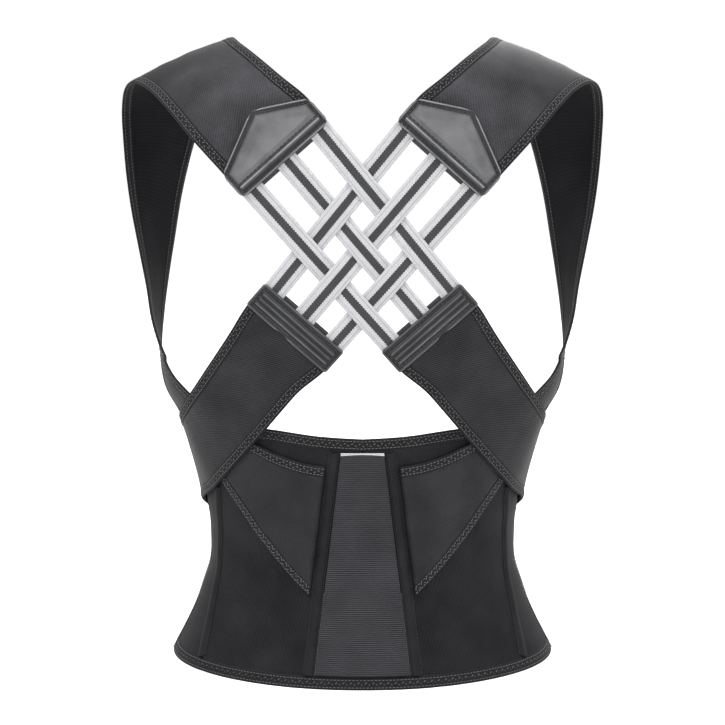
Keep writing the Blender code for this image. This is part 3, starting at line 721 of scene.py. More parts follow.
spine_heights = np.linspace(SPINE_FOOT, SPINE_TOP, 15)
spine_path = np.column_stack([
    angle_at(spine_edge(spine_heights) + TUBE_WIDTH / 2, spine_heights, CLOTH + GAP), spine_heights,
])
side_table = np.column_stack([np.linspace(0, 1, len(SIDE_TUBE)), SIDE_TUBE])
side_path = through(side_table, np.linspace(0, 1, 12))
for side, sign in SIDES.items():
    for kind, path in (("spine", spine_path), ("side", side_path)):
        tube, size = taped_tube(f"{kind}_tube_tape_{side}", path, sign, TUBE_FOLD, TUBE_TAPE, TAPE)
        fixed(tube, "back_and_harness", [f"{kind}_stay_tube_{side}"])
        inner = path[1:-1]

        def stay_chart(s, b, inner=inner, sign=sign):
            angle, level = beside(inner, (s - 0.5) * STAY_WIDE, b)
            return worn(sign, angle, level, CLOTH + EDGE_GAP + STAY_THICK / 2)

        stay, _ = cloth(
            f"{kind}_stay_steel_{side}", stay_chart, spaced(STAY_WIDE, 1.0, 0.3), spaced(150, 4, 0.3),
            [STEEL], even(STAY_THICK),
        )
        fixed(stay, "back_and_harness", [f"{kind}_stay_{side}"])
        lift = CLOTH + GAP + 0.10
        going = [
            two_rows(f"{kind}_tube_stitching_{side}", path, sign, TUBE_SEAM, lift, (0.005, 0.995), wide=0.5),
        ]
        if kind == "spine":
            cord = cord_round(
                f"spine_tube_piping_{side}", path, sign, PIPING_RADIUS, PIPING_ASIDE, CLOTH + GAP + 0.5,
                PIPING, PIPING_SHARE,
            )
            fixed(cord, "back_and_harness", [])
            going.append(cord)
        declared(size)

# ---------------------------------------------------------------- shoulder straps
# One long band of the same laminate a side, with a twill face: it starts beside the spine
# tube, crosses the back of the belt, passes under the arm and over the shoulder, and ends
# under the upper patch. Both its edges are bound like the belt's.
STRAP_TAPE = 9.0
ANCHOR = [((17.0, 184.3), (22.8, 73.0)), ((28.0, 187.0), (34.5, 91.5)), ((38.5, 192.4), (46.5, 114.5))]
ANCHOR += [((48.5, 201.0), (57.5, 140.0))]
STRAP_LOW = [((60.1, 213.8), (71.1, 173.3)), ((65.5, 225.5), (77.5, 196.0)), ((71.5, 239.5), (84.5, 216.0))]
# The arm-side edge and the neck-side edge in space, up the chest and over the shoulder.
STRAP_HIGH = [
    ((159, -33.5, 252.5), (172, 10.5, 235.5)),
    ((172, -13.5, 270.5), (178, 34.5, 262.5)),
    ((182, 6, 293.5), (177, 54, 294.5)),
    ((188, 17.5, 322.5), (173, 65.5, 328.5)),
    ((195, 24, 355), (168, 75, 362)),
    ((201.5, 27.5, 388), (162.5, 80.5, 396)),
    ((205.5, 28.5, 418), (154.5, 82.5, 430)),
    ((207.5, 26.5, 446.5), (144.5, 76.5, 461.5)),
    ((207.5, 17.5, 473), (132, 58.5, 493)),
    ((203, 1, 491.5), (119, 29, 522.5)),
    ((193, -21, 498), (110, -8, 535)),
    ((177, -51, 492.5), (100, -47, 530.5)),
    ((159.5, -82.5, 478.5), (83.5, -80.5, 519.5)),
    ((137.5, -104, 455), (64.5, -104, 505)),
]
LEAVES_BODY = 262.0
CROWN = 2.5
STRAP_LONG, STRAP_WIDE = 780.0, 82.0
LATTICE_Y = -114.6
EDGE_RUN = (0.749, 0.6626)
UPPER_CORNER, UPPER_LENGTH, UPPER_SIDE, UPPER_PEAK = (95.9, 408.1), 93.0, 25.5, 49.0
LOWER_CORNER, LOWER_LENGTH, LOWER_SIDE = (14.8, 283.7), 85.5, 23.5
TUCK, SINK = 9.0, 1.0

# past 0.50 m along the strap, over the shoulder, the knit is painted paler for the light from above, and
# darker before it as painted shade
STRAP_KNIT = knit(
    "strap_knit", (0.0012, 0.0012, 0.0016), (0.058, 0.057, 0.064), 0.00150, 0.62, 0.00020, 0.14, 0.62, 0.50,
)


def patch_point(corner, inwards, u, v):
    """(x, z) of a point u along a patch's edge from its corner and v away from the bands."""
    along = np.array([EDGE_RUN[0] * inwards, EDGE_RUN[1]])
    away = np.array([EDGE_RUN[1], EDGE_RUN[0] * -inwards])
    return np.array(corner) + np.multiply.outer(u, along) + np.multiply.outer(v, away)


def upper_point(u, v):
    return patch_point(UPPER_CORNER, -1, u, v)


def lower_point(u, v):
    return patch_point(LOWER_CORNER, 1, u, v)


def in_lattice(point):
    return (point[0], LATTICE_Y + CLOTH / 2, point[1])


def body_rows(rows, lift):
    return [[worn(1, a, z, lift)[0] for a, z in row] for row in rows]


def beside_tube(height):
    """The angle just outside the tube and the piping of the spine stay."""
    lift = CLOTH + GAP
    return angle_at(spine_edge(height) + TUBE_WIDTH + 1.6, height, lift)


strap_end = np.array([
    [in_lattice(upper_point(1, v)), in_lattice(upper_point(UPPER_LENGTH - 1, v))]
    for v in (UPPER_SIDE + 4, TUCK + 2)
])
strap_end[0] += (0, SINK, 0)
laid_rows = body_rows(ANCHOR + STRAP_LOW, CLOTH + GAP)
STRAP_ROWS = np.concatenate([laid_rows, np.array(STRAP_HIGH, float), strap_end])


def taut(rows, lift, crown):
    """A band between two edges in space: the middle of the cloth at x mm from its first edge
    (or from its second, for x below zero), resting on the body where it meets it."""
    table = np.column_stack([np.arange(len(rows)), rows.reshape(len(rows), 6)])

    def chart(x, b, from_second=False):
        where = np.asarray(b) * (len(rows) - 1)
        both = through(table, where)
        first, second = both[..., :3], both[..., 3:]
        wide = np.linalg.norm(second - first, axis=-1)
        t = x / wide
        t = (1 - t if from_second else t)[..., None]
        ahead, back = through(table, where + 0.2), through(table, where - 0.2)
        run = (ahead[..., :3] + ahead[..., 3:]) - (back[..., :3] + back[..., 3:])
        out = np.cross(second - first, run)
        out /= np.linalg.norm(out, axis=-1)[..., None]
        bowed = crown(where) * (1 - (2 * t[..., 0] - 1) ** 2)
        on = first * (1 - t) + second * t + out * bowed[..., None]
        angle = np.degrees(np.arctan2(on[..., 0], -on[..., 1]))
        base, level = worn(1, angle, on[..., 2], 0.0)
        free = np.maximum(0, on[..., 2] - LEAVES_BODY)
        missing = np.maximum(0, lift(angle) - free / 2 - ((on - base) * level).sum(-1))
        on = on + level * np.where(free > 30, 0, missing)[..., None]
        near = ramp(292, 255, on[..., 2])[..., None]
        out = out * (1 - near) + level * near
        out /= np.linalg.norm(out, axis=-1)[..., None]
        return on + out * CLOTH / 2, out, angle

    return chart


def strap_crown(where):
    return CROWN * np.clip(np.minimum((where - 7.6) / 1.8, (20.6 - where) / 1.8), 0, 1)


def strap_chart(sign):
    """The shoulder strap on one side, kept clear of the tube of the spine stay."""
    flat = taut(STRAP_ROWS, lambda angle: CLOTH + GAP, strap_crown)

    def chart(x, b, **how):
        points, out, angle = flat(x, b, **how)
        least = beside_tube(points[..., 2])
        moved, level = worn(1, np.maximum(angle, least), points[..., 2], CLOTH * 1.5 + GAP)
        close = ((angle < least) & (points[..., 2] < 215))[..., None]
        points, out = np.where(close, moved, points), np.where(close, level, out)
        return points * (sign, 1, 1), out * (sign, 1, 1)

    return chart


def inset_shares(chart):
    """The same chart for shares across, ending just inside the folds of both bindings."""
    def inside(s, b):
        near, _ = chart(np.full(s.shape, HEM_TO_FOLD), b)
        far, _ = chart(np.full(s.shape, HEM_TO_FOLD), b, from_second=True)
        wide = np.linalg.norm(far - near, axis=-1)
        return chart(HEM_TO_FOLD + s * wide, b)
    return inside


def bound_sides(side, end):
    """Pressed thin inside the bindings along both sides, and full in the middle."""
    cover = TAPE_COVER - 1.0
    full = CLOTH + 0.5 * ramp(8, 30, side) * ramp(30, 60, end)
    return PRESSED + (full - PRESSED) * ramp(cover - 0.6, cover + 1.6, side + HEM_TO_FOLD)


def strap_puckers(u, v, side, end):
    """Small puckers beside the bindings, and long soft folds where the strap turns."""
    near = ramp(22, 10, side) * ramp(7.0, 10.0, side)
    folds = ramp(12, 30, side) * ramp(250, 330, v) * ramp(760, 690, v)
    return 0.09 * near * np.sin(v / 1.9) + 0.45 * folds * np.sin(v / 17 + u / 60) * np.sin(u / 9 + v / 70)


for side, sign in SIDES.items():
    chart = strap_chart(sign)
    strap, size = cloth(
        f"shoulder_strap_cloth_{side}", inset_shares(chart), spaced(STRAP_WIDE, KNIT_STEP),
        spaced(STRAP_LONG, 3.2), [STRAP_KNIT, LINING], bound_sides, strap_puckers,
    )
    fixed(strap, "back_and_harness", [f"shoulder_strap_{side}", f"anchor_band_{side}"])
    for where, how, old in (("arm", {}, "upper"), ("neck", {"from_second": True}, "lower")):
        def edge(x, b, how=how, chart=chart):
            return chart(x, b, **how)
        bind(
            f"strap_{where}_tape_{side}", f"strap_{where}_stitching_{side}", edge, spaced(STRAP_LONG, 3.0),
            STRAP_TAPE, [f"shoulder_strap_{where}_binding_{side}", f"anchor_band_{old}_binding_{side}"],
            share=(0.004, 0.985),
        )
    declared(size)

# ---------------------------------------------------------------- patches
# Embossed leather-cloth patches that close the strap ends over the woven bands. Each has a
# corded rim, a row of long stitches inside it and raised welts along the edge with the bands.
PATCH_OUT = LATTICE_Y - CLOTH / 2 - 0.7
PATCH_THICK = 1.3
PATCH_GRID = 0.75
LEATHER_STITCH, LEATHER_PITCH = 2.9, 4.0
RIM_INSIDE = 3.6       # the row of stitches lies this far inside the rim
PEAK_AT = 0.56         # where the roof-shaped edge peaks, as a share of the patch's length
WELT_ROW = 11.0        # the row of stitches beyond the upper patch's welt


def leather(name):
    """Polyurethane leather with a fine canvas emboss. It is painted pale where marks are above 0, a
    painted highlight, and painted dark where marks are below 0, a painted shade in its grooves."""
    look = Finish(name, Specular_IOR_Level=0.30, Coat_Roughness=0.22)
    u, v = look.uv()
    waver = look.noise(0.005, 2) * 0.5
    warp = (u / 0.00115 + waver).wave()
    weft = (v / 0.00145 + waver).wave()
    pores = look.noise(0.0006, 2)
    cloud = look.noise(0.018, 3)
    grain = warp * 0.5 + weft * 0.5 + pores * 0.5
    shade = grain * 0.6 + (cloud - 0.5) * 0.9 + 0.15
    painted_light_mark = look.any.node("ShaderNodeAttribute", {"attribute_name": "mark"}, {}, 2)
    body = shade.step(0.1, 1.2).between((0.0012, 0.0013, 0.0018), (0.0120, 0.0122, 0.0150))
    pale = shade.step(0.0, 1.2).between((0.07, 0.07, 0.076), (0.30, 0.30, 0.315))
    # painted highlight where the mark is above 0 and painted shade where it is below 0, over the leather's
    # own colour
    colour = painted_light_mark.step(0.0, 1.0).between(body, pale)
    look.give("Base Color", painted_light_mark.step(-0.1, -0.8).between(colour, (0.0008, 0.0008, 0.0010)))
    look.give("Roughness", (1 - grain) * 0.16 + cloud * 0.10 + 0.28)
    look.give("Coat Weight", painted_light_mark.step(0.1, 0.9) * 0.35)
    look.bump(grain, 0.00006)
    return look.material


LEATHER = leather("embossed_leather")


def drawn_in(near, corner):
    """How far an outline has drawn in this near to its end, at a rounded corner."""
    return corner - np.sqrt(np.maximum(0, corner**2 - (corner - near) ** 2))


def facing_back(x, y, z):
    """Points in or beside the plane of the woven bands, and the direction out of it."""
    points = np.stack([x, np.broadcast_to(y, x.shape), z], -1)
    return points, np.broadcast_to((0.0, -1.0, 0.0), points.shape)


def roofed(length, flank, peak, corner):
    """The patch's lower and upper outline over its length, with rounded lower corners."""
    def rounded(u):
        return drawn_in(np.minimum(np.minimum(u, length - u), corner), corner)

    def high(u):
        top = length * PEAK_AT
        slope = np.where(u < top, u / top, (length - u) / (length - top))
        roof = flank + (peak - flank) * slope - 1.6 * np.exp(-(((u - top) / 7) ** 2))
        return roof - rounded(u)

    return rounded, high


def rim_distance(u, v, length, flank, peak):
    """How far a point lies inside the patch's nearest edge."""
    top, rise = length * PEAK_AT, peak - flank
    near = np.minimum(np.minimum(u, length - u), v)
    for run, along in ((top, u), (length - top, length - u)):
        near = np.minimum(near, (flank * run + along * rise - v * run) / math.hypot(run, rise))
    return near


def welt(v, low, high, tall):
    """A rounded welt between two distances from the patch's edge."""
    share = np.clip((v - low) / (high - low), 0, 1)
    return tall * np.sqrt(np.maximum(0, 1 - (2 * share - 1) ** 2))


def patch(name, node, sign, point, length, flank, peak, corner, welts, padded):
    """A patch with a corded rim, a groove for its stitches, welts and, where padded, a pillow."""
    low, high = roofed(length, flank, peak, corner)

    def flat(s, b):
        u = s * length
        return u, low(u) * (1 - b) + high(u) * b

    def chart(s, b):
        u, v = flat(s, b)
        xz = patch_at(point, u, v)
        return facing_back(sign * xz[..., 0], PATCH_OUT - PATCH_THICK / 2, xz[..., 1])

    across, along = spaced(length, PATCH_GRID, 0.6), spaced(peak, PATCH_GRID, 0.6)
    s, b = np.meshgrid(across, along)
    u, v = flat(s, b)
    inside = rim_distance(u, v, length, flank, peak)
    cord = 0.60 * np.sqrt(np.maximum(0, 1 - ((inside - 1.2) / 1.2) ** 2))
    groove = -0.40 * np.exp(-(((inside - RIM_INSIDE) / 0.8) ** 2))
    slope = np.clip((peak - v) / (peak - 14), 0, 1)
    pillow = padded * ramp(2.5, 15.0, inside) * ramp(10.6, 15.0, v) * slope
    ribs = sum(welt(v, one, two, tall) for one, two, tall in welts) * ramp(3.6, 5.2, inside)
    rise = cord + groove + np.maximum(pillow, ribs)
    # painted light and shade for the leather: painted highlights on the rim, over the padded field and along
    # the welts, painted shade in the stitch groove and at the welts' edges
    painted_highlight_strength = 1.0 if padded else 0.6
    bright = 0.75 * painted_highlight_strength * np.exp(-(((inside - 0.9) / 0.5) ** 2))
    bright = bright + 0.37 * ramp(1.2, 8, inside) * (padded > 0) * ramp(10.4, 11.4, v)
    dark = 0.25 * np.exp(-(((inside - RIM_INSIDE) / 0.7) ** 2))
    for one, two, tall in welts:
        within = ramp(3.8, 5.0, inside)
        crest = one + (two - one) * 0.70
        bright = bright + 0.7 * painted_highlight_strength * within * np.exp(-(((v - crest) / 0.45) ** 2))
        bright = bright + 0.22 * painted_highlight_strength**2 * within * (v > one) * (v < two)
        dark = dark + within * (np.exp(-(((v - one) / 0.5) ** 2)) + np.exp(-(((v - two) / 0.5) ** 2)))
    marks = np.clip(bright - dark, -1, 1)

    def relief(*_):
        return rise

    made, _ = cloth(name, chart, across, along, [LEATHER], even(PATCH_THICK - 0.3), relief, marks)
    fixed(made, "back_and_harness", [node])


def patch_at(point, u, v):
    """patch_point for arrays of u and v of one shape."""
    origin, along, away = point(0, 0), point(1, 0) - point(0, 0), point(0, 1) - point(0, 0)
    return origin + u[..., None] * along + v[..., None] * away


def patch_row(sign, point, corners, rise):
    """A run of stitches over the patch through (u, v) corners."""
    corners = np.array(corners, float)
    length = run_length(np.pad(corners, ((0, 0), (0, 1)))[:, None], 0)[:, 0]
    where = np.linspace(0, length[-1], 200)
    u, v = (np.interp(where, length, corners[:, k]) for k in (0, 1))
    xz = patch_at(point, u, v)
    return *facing_back(sign * xz[:, 0], PATCH_OUT - PATCH_THICK - rise, xz[:, 1]), 0, 0


UPPER_WELTS = [(5.0, 9.4, 1.0)]
LOWER_WELTS = [(5.0, 9.0, 0.9), (10.0, 13.6, 0.9), (14.6, 18.6, 0.9)]
for side, sign in SIDES.items():
    patch(
        f"upper_patch_leather_{side}", f"upper_patch_{side}", sign, upper_point, UPPER_LENGTH, UPPER_SIDE,
        UPPER_PEAK, 6.0, UPPER_WELTS, 1.6,
    )
    patch(
        f"lower_patch_leather_{side}", f"lower_patch_{side}", sign, lower_point, LOWER_LENGTH, LOWER_SIDE,
        LOWER_SIDE + 0.3, 2.5, LOWER_WELTS, 0.0,
    )
    inset = RIM_INSIDE
    peak = (UPPER_LENGTH * PEAK_AT, UPPER_PEAK - inset - 1.6)
    far = UPPER_LENGTH - inset
    upper_rows = [
        [(inset + 1, inset), (inset, UPPER_SIDE - 2), peak],
        [peak, (far, UPPER_SIDE - 2), (far, inset)],
        [(inset + 1, inset), (far - 1, inset)],
        [(inset + 1, WELT_ROW), (far - 1, WELT_ROW)],
    ]
    far, top = LOWER_LENGTH - inset, LOWER_SIDE - inset
    lower_rows = [[(inset, inset), (far, inset), (far, top)], [(far, top), (inset, top), (inset, inset)]]
    for where, point, rows in (("upper", upper_point, upper_rows), ("lower", lower_point, lower_rows)):
        runs = [patch_row(sign, point, row, -0.15) for row in rows]
        sewn(f"{where}_patch_stitching_{side}", runs, BLACK_THREAD, LEATHER_PITCH, LEATHER_STITCH, 1.15)

# ---------------------------------------------------------------- patch backings
# Strips of the same leather cloth behind the band ends. They show between the bands as dark
# bars just past each patch, where the ends of the bands are sewn in between the two layers.
BAND_WIDTH = 19.0
BACKING_THICK = 1.0
BACKING_SHOWS = 3.0
BACKING_Y = LATTICE_Y + CLOTH / 2 + EDGE_GAP + BACKING_THICK / 2

for side, sign in SIDES.items():
    for where, point, length in (("upper", upper_point, UPPER_LENGTH), ("lower", lower_point, LOWER_LENGTH)):
        def backing_chart(s, b, point=point, length=length, sign=sign):
            to_end = length / 2 - 2 - np.abs(s - 0.5) * (length - 4)
            reach = ramp(0.0, 1.0, np.clip(to_end / (BAND_WIDTH * 0.6), 0, 1) * 1.6)
            v = -BACKING_SHOWS * reach * (1 - b) + (TUCK + 1) * b
            xz = patch_at(point, 2 + s * (length - 4), v)
            return facing_back(sign * xz[..., 0], BACKING_Y, xz[..., 1])

        backing, _ = cloth(
            f"{where}_backing_leather_{side}", backing_chart, spaced(length - 4, 2.0, 0.5),
            spaced(13, 1.0, 0.5), [LEATHER], even(BACKING_THICK),
        )
        fixed(backing, "back_and_harness", [f"{where}_patch_backing_{side}"])

# ---------------------------------------------------------------- woven bands
# Six straps of silver-grey elastic webbing with a dark stripe. Three run from each upper patch
# to the lower patch of the other side, and pass over and under the other three in plain weave.
BAND_THICK = 1.2
BAND_LIFT = 0.85
UPPER_PITCH, LOWER_PITCH = 36.0, 32.5
STRIPE = (7.0, 12.4)   # the dark stripe, in mm from one selvedge
EDGE_LINES = (2.6, 16.4)       # the fine grey lines beside the selvedges


def webbing(name):
    look = Finish(name, Specular_IOR_Level=0.3, Sheen_Weight=0.1, Sheen_Roughness=0.4)
    u, v = look.uv()
    rib = (u / 0.00095).wave()
    pick = (v / 0.00150 + (u / 0.00095).wave() * 0.5).wave()
    saw = (v / 0.0023) % 1.0 - 0.5
    tooth = saw.maths("ABSOLUTE", saw) * 0.0015
    fibre = look.noise(0.0008, 3)
    low, high = STRIPE[0] * MM, STRIPE[1] * MM
    stripe = (u + tooth).step(low - 0.0001, low + 0.0001) * (u - tooth).step(high + 0.0001, high - 0.0001)
    one, two = (u.maths("ABSOLUTE", u - at * MM).step(0.0005, 0.0002) for at in EDGE_LINES)
    shade = rib * 0.35 + pick * 0.3 + fibre * 0.5
    pale = shade.step(0.0, 1.1).between((0.13, 0.13, 0.137), (0.46, 0.46, 0.475))
    pale = ((one + two) * 0.5).between(pale, (0.12, 0.12, 0.125))
    dark = shade.step(0.0, 1.1).between((0.0015, 0.0015, 0.0020), (0.030, 0.030, 0.033))
    look.give("Base Color", stripe.between(pale, dark))
    look.give("Roughness", fibre * 0.2 + 0.5)
    look.bump(rib * 0.7 + pick * 0.5 + fibre * 0.2, 0.00016)
    return look.material


WEBBING = webbing("striped_elastic_webbing")


def band_ends(k, sign):
    """(x, z) of both ends of band k, at the upper patch on one side and the lower on the other."""
    top = upper_point(UPPER_LENGTH / 2 + k * UPPER_PITCH, 0) * (sign, 1)
    foot = lower_point(LOWER_LENGTH / 2 + k * LOWER_PITCH, 0) * (-sign, 1)
    run = (foot - top) / np.linalg.norm(foot - top)
    return top - run * TUCK, foot + run * TUCK


def crossing(one, two):
    """How far along the first band, in mm, the second crosses it."""
    (a, b), (c, d) = one, two
    run, other, gap = b - a, d - c, c - a
    share = (gap[0] * other[1] - gap[1] * other[0]) / (run[0] * other[1] - run[1] * other[0])
    return share * np.linalg.norm(run)


def selvedge(side, end):
    """Webbing is a little fuller along its middle and tight at its selvedges."""
    return BAND_THICK * (0.86 + 0.14 * ramp(0, 2.2, side))


order = {"left": (-1, 0, 1), "right": (1, 0, -1)}
ends = {side: [band_ends(k, SIDES[side]) for k in order[side]] for side in SIDES}
for side, other in (("left", "right"), ("right", "left")):
    for n, (top, foot) in enumerate(ends[side]):
        length = float(np.linalg.norm(foot - top))
        run = (foot - top) / length
        rest = BAND_WIDTH / 2 + 0.4
        knots = [(0.0, 0.0), (TUCK + 1, 0.0), (length - TUCK - 1, 0.0), (length, 0.0)]
        for m, across in enumerate(ends[other]):
            over = (n + m) % 2 == (0 if side == "left" else 1)
            at, level = crossing((top, foot), across), -BAND_LIFT if over else BAND_LIFT
            knots += [(at - rest, level), (at + rest, level)]
        knots = np.array(sorted(knots))

        def band_chart(s, b, top=top, run=run, length=length, knots=knots):
            at = b * length
            i = np.clip(np.searchsorted(knots[:, 0], at) - 1, 0, len(knots) - 2)
            level = knots[i, 1] + (knots[i + 1, 1] - knots[i, 1]) * ramp(knots[i, 0], knots[i + 1, 0], at)
            aside = (s - 0.5) * BAND_WIDTH
            x = top[0] + run[0] * at - run[1] * aside
            z = top[1] + run[1] * at + run[0] * aside
            return facing_back(x, LATTICE_Y + level, z)

        band, size = cloth(
            f"woven_band_{side}_{n + 1}", band_chart, spaced(BAND_WIDTH, 1.6, 0.6), spaced(length, 1.6, 0.6),
            [WEBBING], selvedge,
        )
        fixed(band, "back_and_harness", [f"band_{side}_{n + 1}"])
        declared(size)

# ---------------------------------------------------------------- pull straps
# Each comes out of a lower patch, goes down and round the waist over the shoulder strap, and
# is sewn to the front wing as far as the place where its free end peels off. The cloth
# crosses the side seam in one piece.
PULL_HIGH = [((109.5, -99, 296), (51, -107, 250)), ((126, -82.5, 270), (65.5, -101, 233))]
PULL_BACK = [((68.5, 243.0), (47.5, 203.0)), ((73.5, 231.0), (57.5, 180.5)), ((80.5, 218.0), (71.0, 154.5))]
PULL_FRONT = [
    (90.0, 204.5, 134.0), (104.0, 182.0, 116.5), (118.0, 164.0, 101.5), (132.0, 152.0, 91.5),
    (146.0, 145.5, 86.0),
]
PULL_WIDE, PULL_LONG = 70, 270
PEEL_ANGLE, PULL_END = 106.0, 146.0
LAP_START, LAP_FULL = 125.0, 167.0
PAD_THICK = 0.8
OVER_STRAP = 2 * (CLOTH + GAP)
TURNED_BY = 0.036      # metres in front of the side seam


def lap(side, angle):
    """How far a front wing stands off the body. The left one closes over the right one."""
    over_right_wing = CLOTH + 2 * PAD_THICK + 3 * EDGE_GAP
    return over_right_wing * ramp(LAP_START, LAP_FULL, angle) if side == "left" else 0.0 * angle


def pull_lift(side, angle):
    """The pull strap lies over the shoulder strap at the side and over its hooks in front."""
    over_hooks = CLOTH + PAD_THICK + 2 * GAP
    return OVER_STRAP - (OVER_STRAP - over_hooks) * ramp(86, 100, angle) + lap(side, angle)


pull_start = np.array([
    [in_lattice(lower_point(LOWER_LENGTH - 1.5, v)), in_lattice(lower_point(1.5, v))]
    for v in (TUCK + 2, LOWER_SIDE + 3)
])
pull_start[1] += (0, SINK + 0.9, 0)


def pull_rows(side):
    front = []
    for angle in (90.0, 98.0, PEEL_ANGLE - 0.15):
        top, foot = through(PULL_FRONT, angle)
        front.append([worn(1, angle, z, pull_lift(side, angle))[0] for z in (top, foot)])
    return np.concatenate([pull_start, np.array(PULL_HIGH, float), body_rows(PULL_BACK, OVER_STRAP), front])


def pull_chart(side, sign):
    """The pull strap, taut down to the waist and lying on the belt in front of the side seam."""
    rows = pull_rows(side)
    flat = taut(rows, lambda angle: pull_lift(side, angle), lambda where: 0 * where)

    def chart(x, b, **how):
        points, out, angle = flat(x, b, **how)
        laid, level = worn(1, angle, points[..., 2], pull_lift(side, angle) + CLOTH / 2)
        onto = ramp(78, 96, angle)[..., None] * (points[..., 2] < 250)[..., None]
        points, out = points * (1 - onto) + laid * onto, out * (1 - onto) + level * onto
        return points * (sign, 1, 1), out * (sign, 1, 1)

    return chart


def hinge_span(sign):
    """The belt's side seam, and where the cloth in front of it has turned fully with the wing."""
    x, z = sign * 0.14, 0.1
    return (x, 0.0, z), (x, TURNED_BY, z)


def pull_puckers(u, v, side, end):
    near = ramp(20, 10, side) * ramp(7.0, 10.0, side)
    return 0.08 * near * np.sin(v / 1.9)


for side, sign in SIDES.items():
    chart = pull_chart(side, sign)
    bodies, span = ("back_and_harness", f"{side}_wing"), hinge_span(sign)
    strap, size = cloth(
        f"pull_strap_cloth_{side}", inset_shares(chart), spaced(PULL_WIDE, KNIT_STEP), spaced(PULL_LONG, 2.6),
        [STRAP_KNIT, LINING], bound_sides, pull_puckers,
    )
    fixed(strap, bodies, [f"pull_strap_{side}", f"pull_strap_front_{side}"], span)
    declared(size)
    for where, how in (("upper", {}), ("lower", {"from_second": True})):
        def edge(x, b, how=how, chart=chart):
            return chart(x, b, **how)
        bind(
            f"pull_{where}_tape_{side}", f"pull_{where}_stitching_{side}", edge, spaced(PULL_LONG, 2.6),
            STRAP_TAPE, [f"pull_strap_{where}_binding_{side}"],
            bodies, span, (0.01, 0.995),
        )

# ---------------------------------------------------------------- front wings
# The two front halves of the belt, each a panel of the same knit with one binding round its
# three free edges. The hooks grip their surface.
WING_END = {"left": 198.0, "right": 192.0}
WING_CORNER = 11.0
WING_RADIUS = 118.0    # of the belt near the ends of the wings


def wing_outline(end):
    """(angle, height) round the free edges: along the hem, up the end and back along the top."""
    at, _ = worn(1, end, np.array(0.0), 0.0)
    low = math.degrees(WING_CORNER / math.hypot(at[0], at[1]))
    high = low * 1.1
    top = float(belt_top(end))
    start = SEAM_ANGLE + 0.01
    turn = np.radians(np.linspace(0, 90, 7))
    hem = [(a, 0.0) for a in np.linspace(start, end - low, 34)]
    corner = [(end - low * (1 - math.sin(t)), WING_CORNER * (1 - math.cos(t))) for t in turn[1:-1]]
    rise = [(end, z) for z in np.linspace(WING_CORNER, top - WING_CORNER, 22)]
    bend = [(end - high * (1 - math.cos(t)), top - WING_CORNER * (1 - math.sin(t))) for t in turn[1:-1]]
    back = [(a, float(belt_top(a))) for a in np.linspace(end - high, start, 34)]
    return np.array(hem + corner + rise + bend + back)


def rounded_end(angle, end):
    """How far the wing's outline has drawn in at this angle, at its rounded corners."""
    return drawn_in(np.clip(np.radians(end - angle) * WING_RADIUS, 0, WING_CORNER), WING_CORNER)


def wing_thick(side, end):
    return bound_ends(side + 3, end)


for side, sign in SIDES.items():
    end, bodies, span = WING_END[side], ("back_and_harness", f"{side}_wing"), hinge_span(sign)

    def low(angle, end=end):
        return HEM_TO_FOLD + rounded_end(angle, end)

    def high(angle, end=end):
        return belt_top(angle) - HEM_TO_FOLD - rounded_end(angle, end)

    chart = belt_chart(
        sign, steady(SEAM_ANGLE), steady(end - 0.7), low, high, lambda angle, side=side: lap(side, angle),
    )
    panel, size = cloth(
        f"front_wing_cloth_{side}", chart, spaced(240, 2.6), spaced(180, 2.6), [BELT_KNIT, LINING],
        wing_thick, pulled,
    )
    fixed(panel, bodies, [f"front_wing_{side}"], span)
    declared(size)
    outline = wing_outline(end)

    def edge(x, b, outline=outline, side=side, sign=sign):
        angle, height = beside(outline, x, b)
        return worn(sign, angle, height, lap(side, angle) + CLOTH / 2)

    bind(
        f"front_tape_{side}", f"front_tape_stitching_{side}", edge, spaced(640, 2.6), TAPE_WIDTH,
        [f"front_binding_{side}"], bodies, span,
    )

# ---------------------------------------------------------------- side seams of the belt
# A narrow flat tape over each seam between the back and a front wing. It is sewn to both.
SEAM_TAPE_THICK = 0.34
SEAM_ROW = 2.6         # the rows of stitches lie this far from the seam
SEAM_TAPE = [(-4.2, 0.22), (-3.6, 0.34), (-SEAM_ROW, 0.30), (-1.2, 0.42), (0, 0.45)]
SEAM_TAPE += [(-x, h) for x, h in SEAM_TAPE[3::-1]]
for side, sign in SIDES.items():
    span = hinge_span(sign)
    path = np.array([(SEAM_ANGLE, z) for z in np.linspace(0.8, float(belt_top(90.0)) - 0.8, 24)])
    seam_fold = [(x, h - GAP + 0.12) for x, h in SEAM_TAPE]
    cover, _ = taped_tube(f"side_seam_tape_{side}", path, sign, seam_fold, SEAM_TAPE_THICK, TAPE)
    bodies = ("back_and_harness", f"{side}_wing")
    fixed(cover, bodies, [], span)
    two_rows(
        f"side_seam_stitching_{side}", path, sign, SEAM_ROW, CLOTH + 0.32, (0.01, 0.99),
        wide=0.45, body=bodies, at=span,
    )

# ---------------------------------------------------------------- hook and loop closure
# The loop pad is sewn outside the end of the right wing and the hook pad inside the end of
# the left one. Each is a woven ground with a dense field of hooks or of brushed loops.
LOOP_SPAN, HOOK_SPAN, PAD_HEIGHTS = (150.0, 186.0), (172.0, 192.0), (20.0, 140.0)
PAD_RADIUS = 105       # of the belt where the pads lie


def hooks(name):
    look = Finish(name, Specular_IOR_Level=0.5)
    u, v = look.uv()
    field = (u / 0.0016).wave() * (v / 0.0013).wave()
    fibre = look.noise(0.0007, 2)
    shade = (field + fibre * 0.3).step(0.2, 0.9)
    look.give("Base Color", shade.between((0.0015, 0.0015, 0.0020), (0.022, 0.022, 0.024)))
    look.give("Roughness", 0.55 - field * 0.2)
    look.bump(field.step(0.25, 0.7), 0.0007)
    return look.material


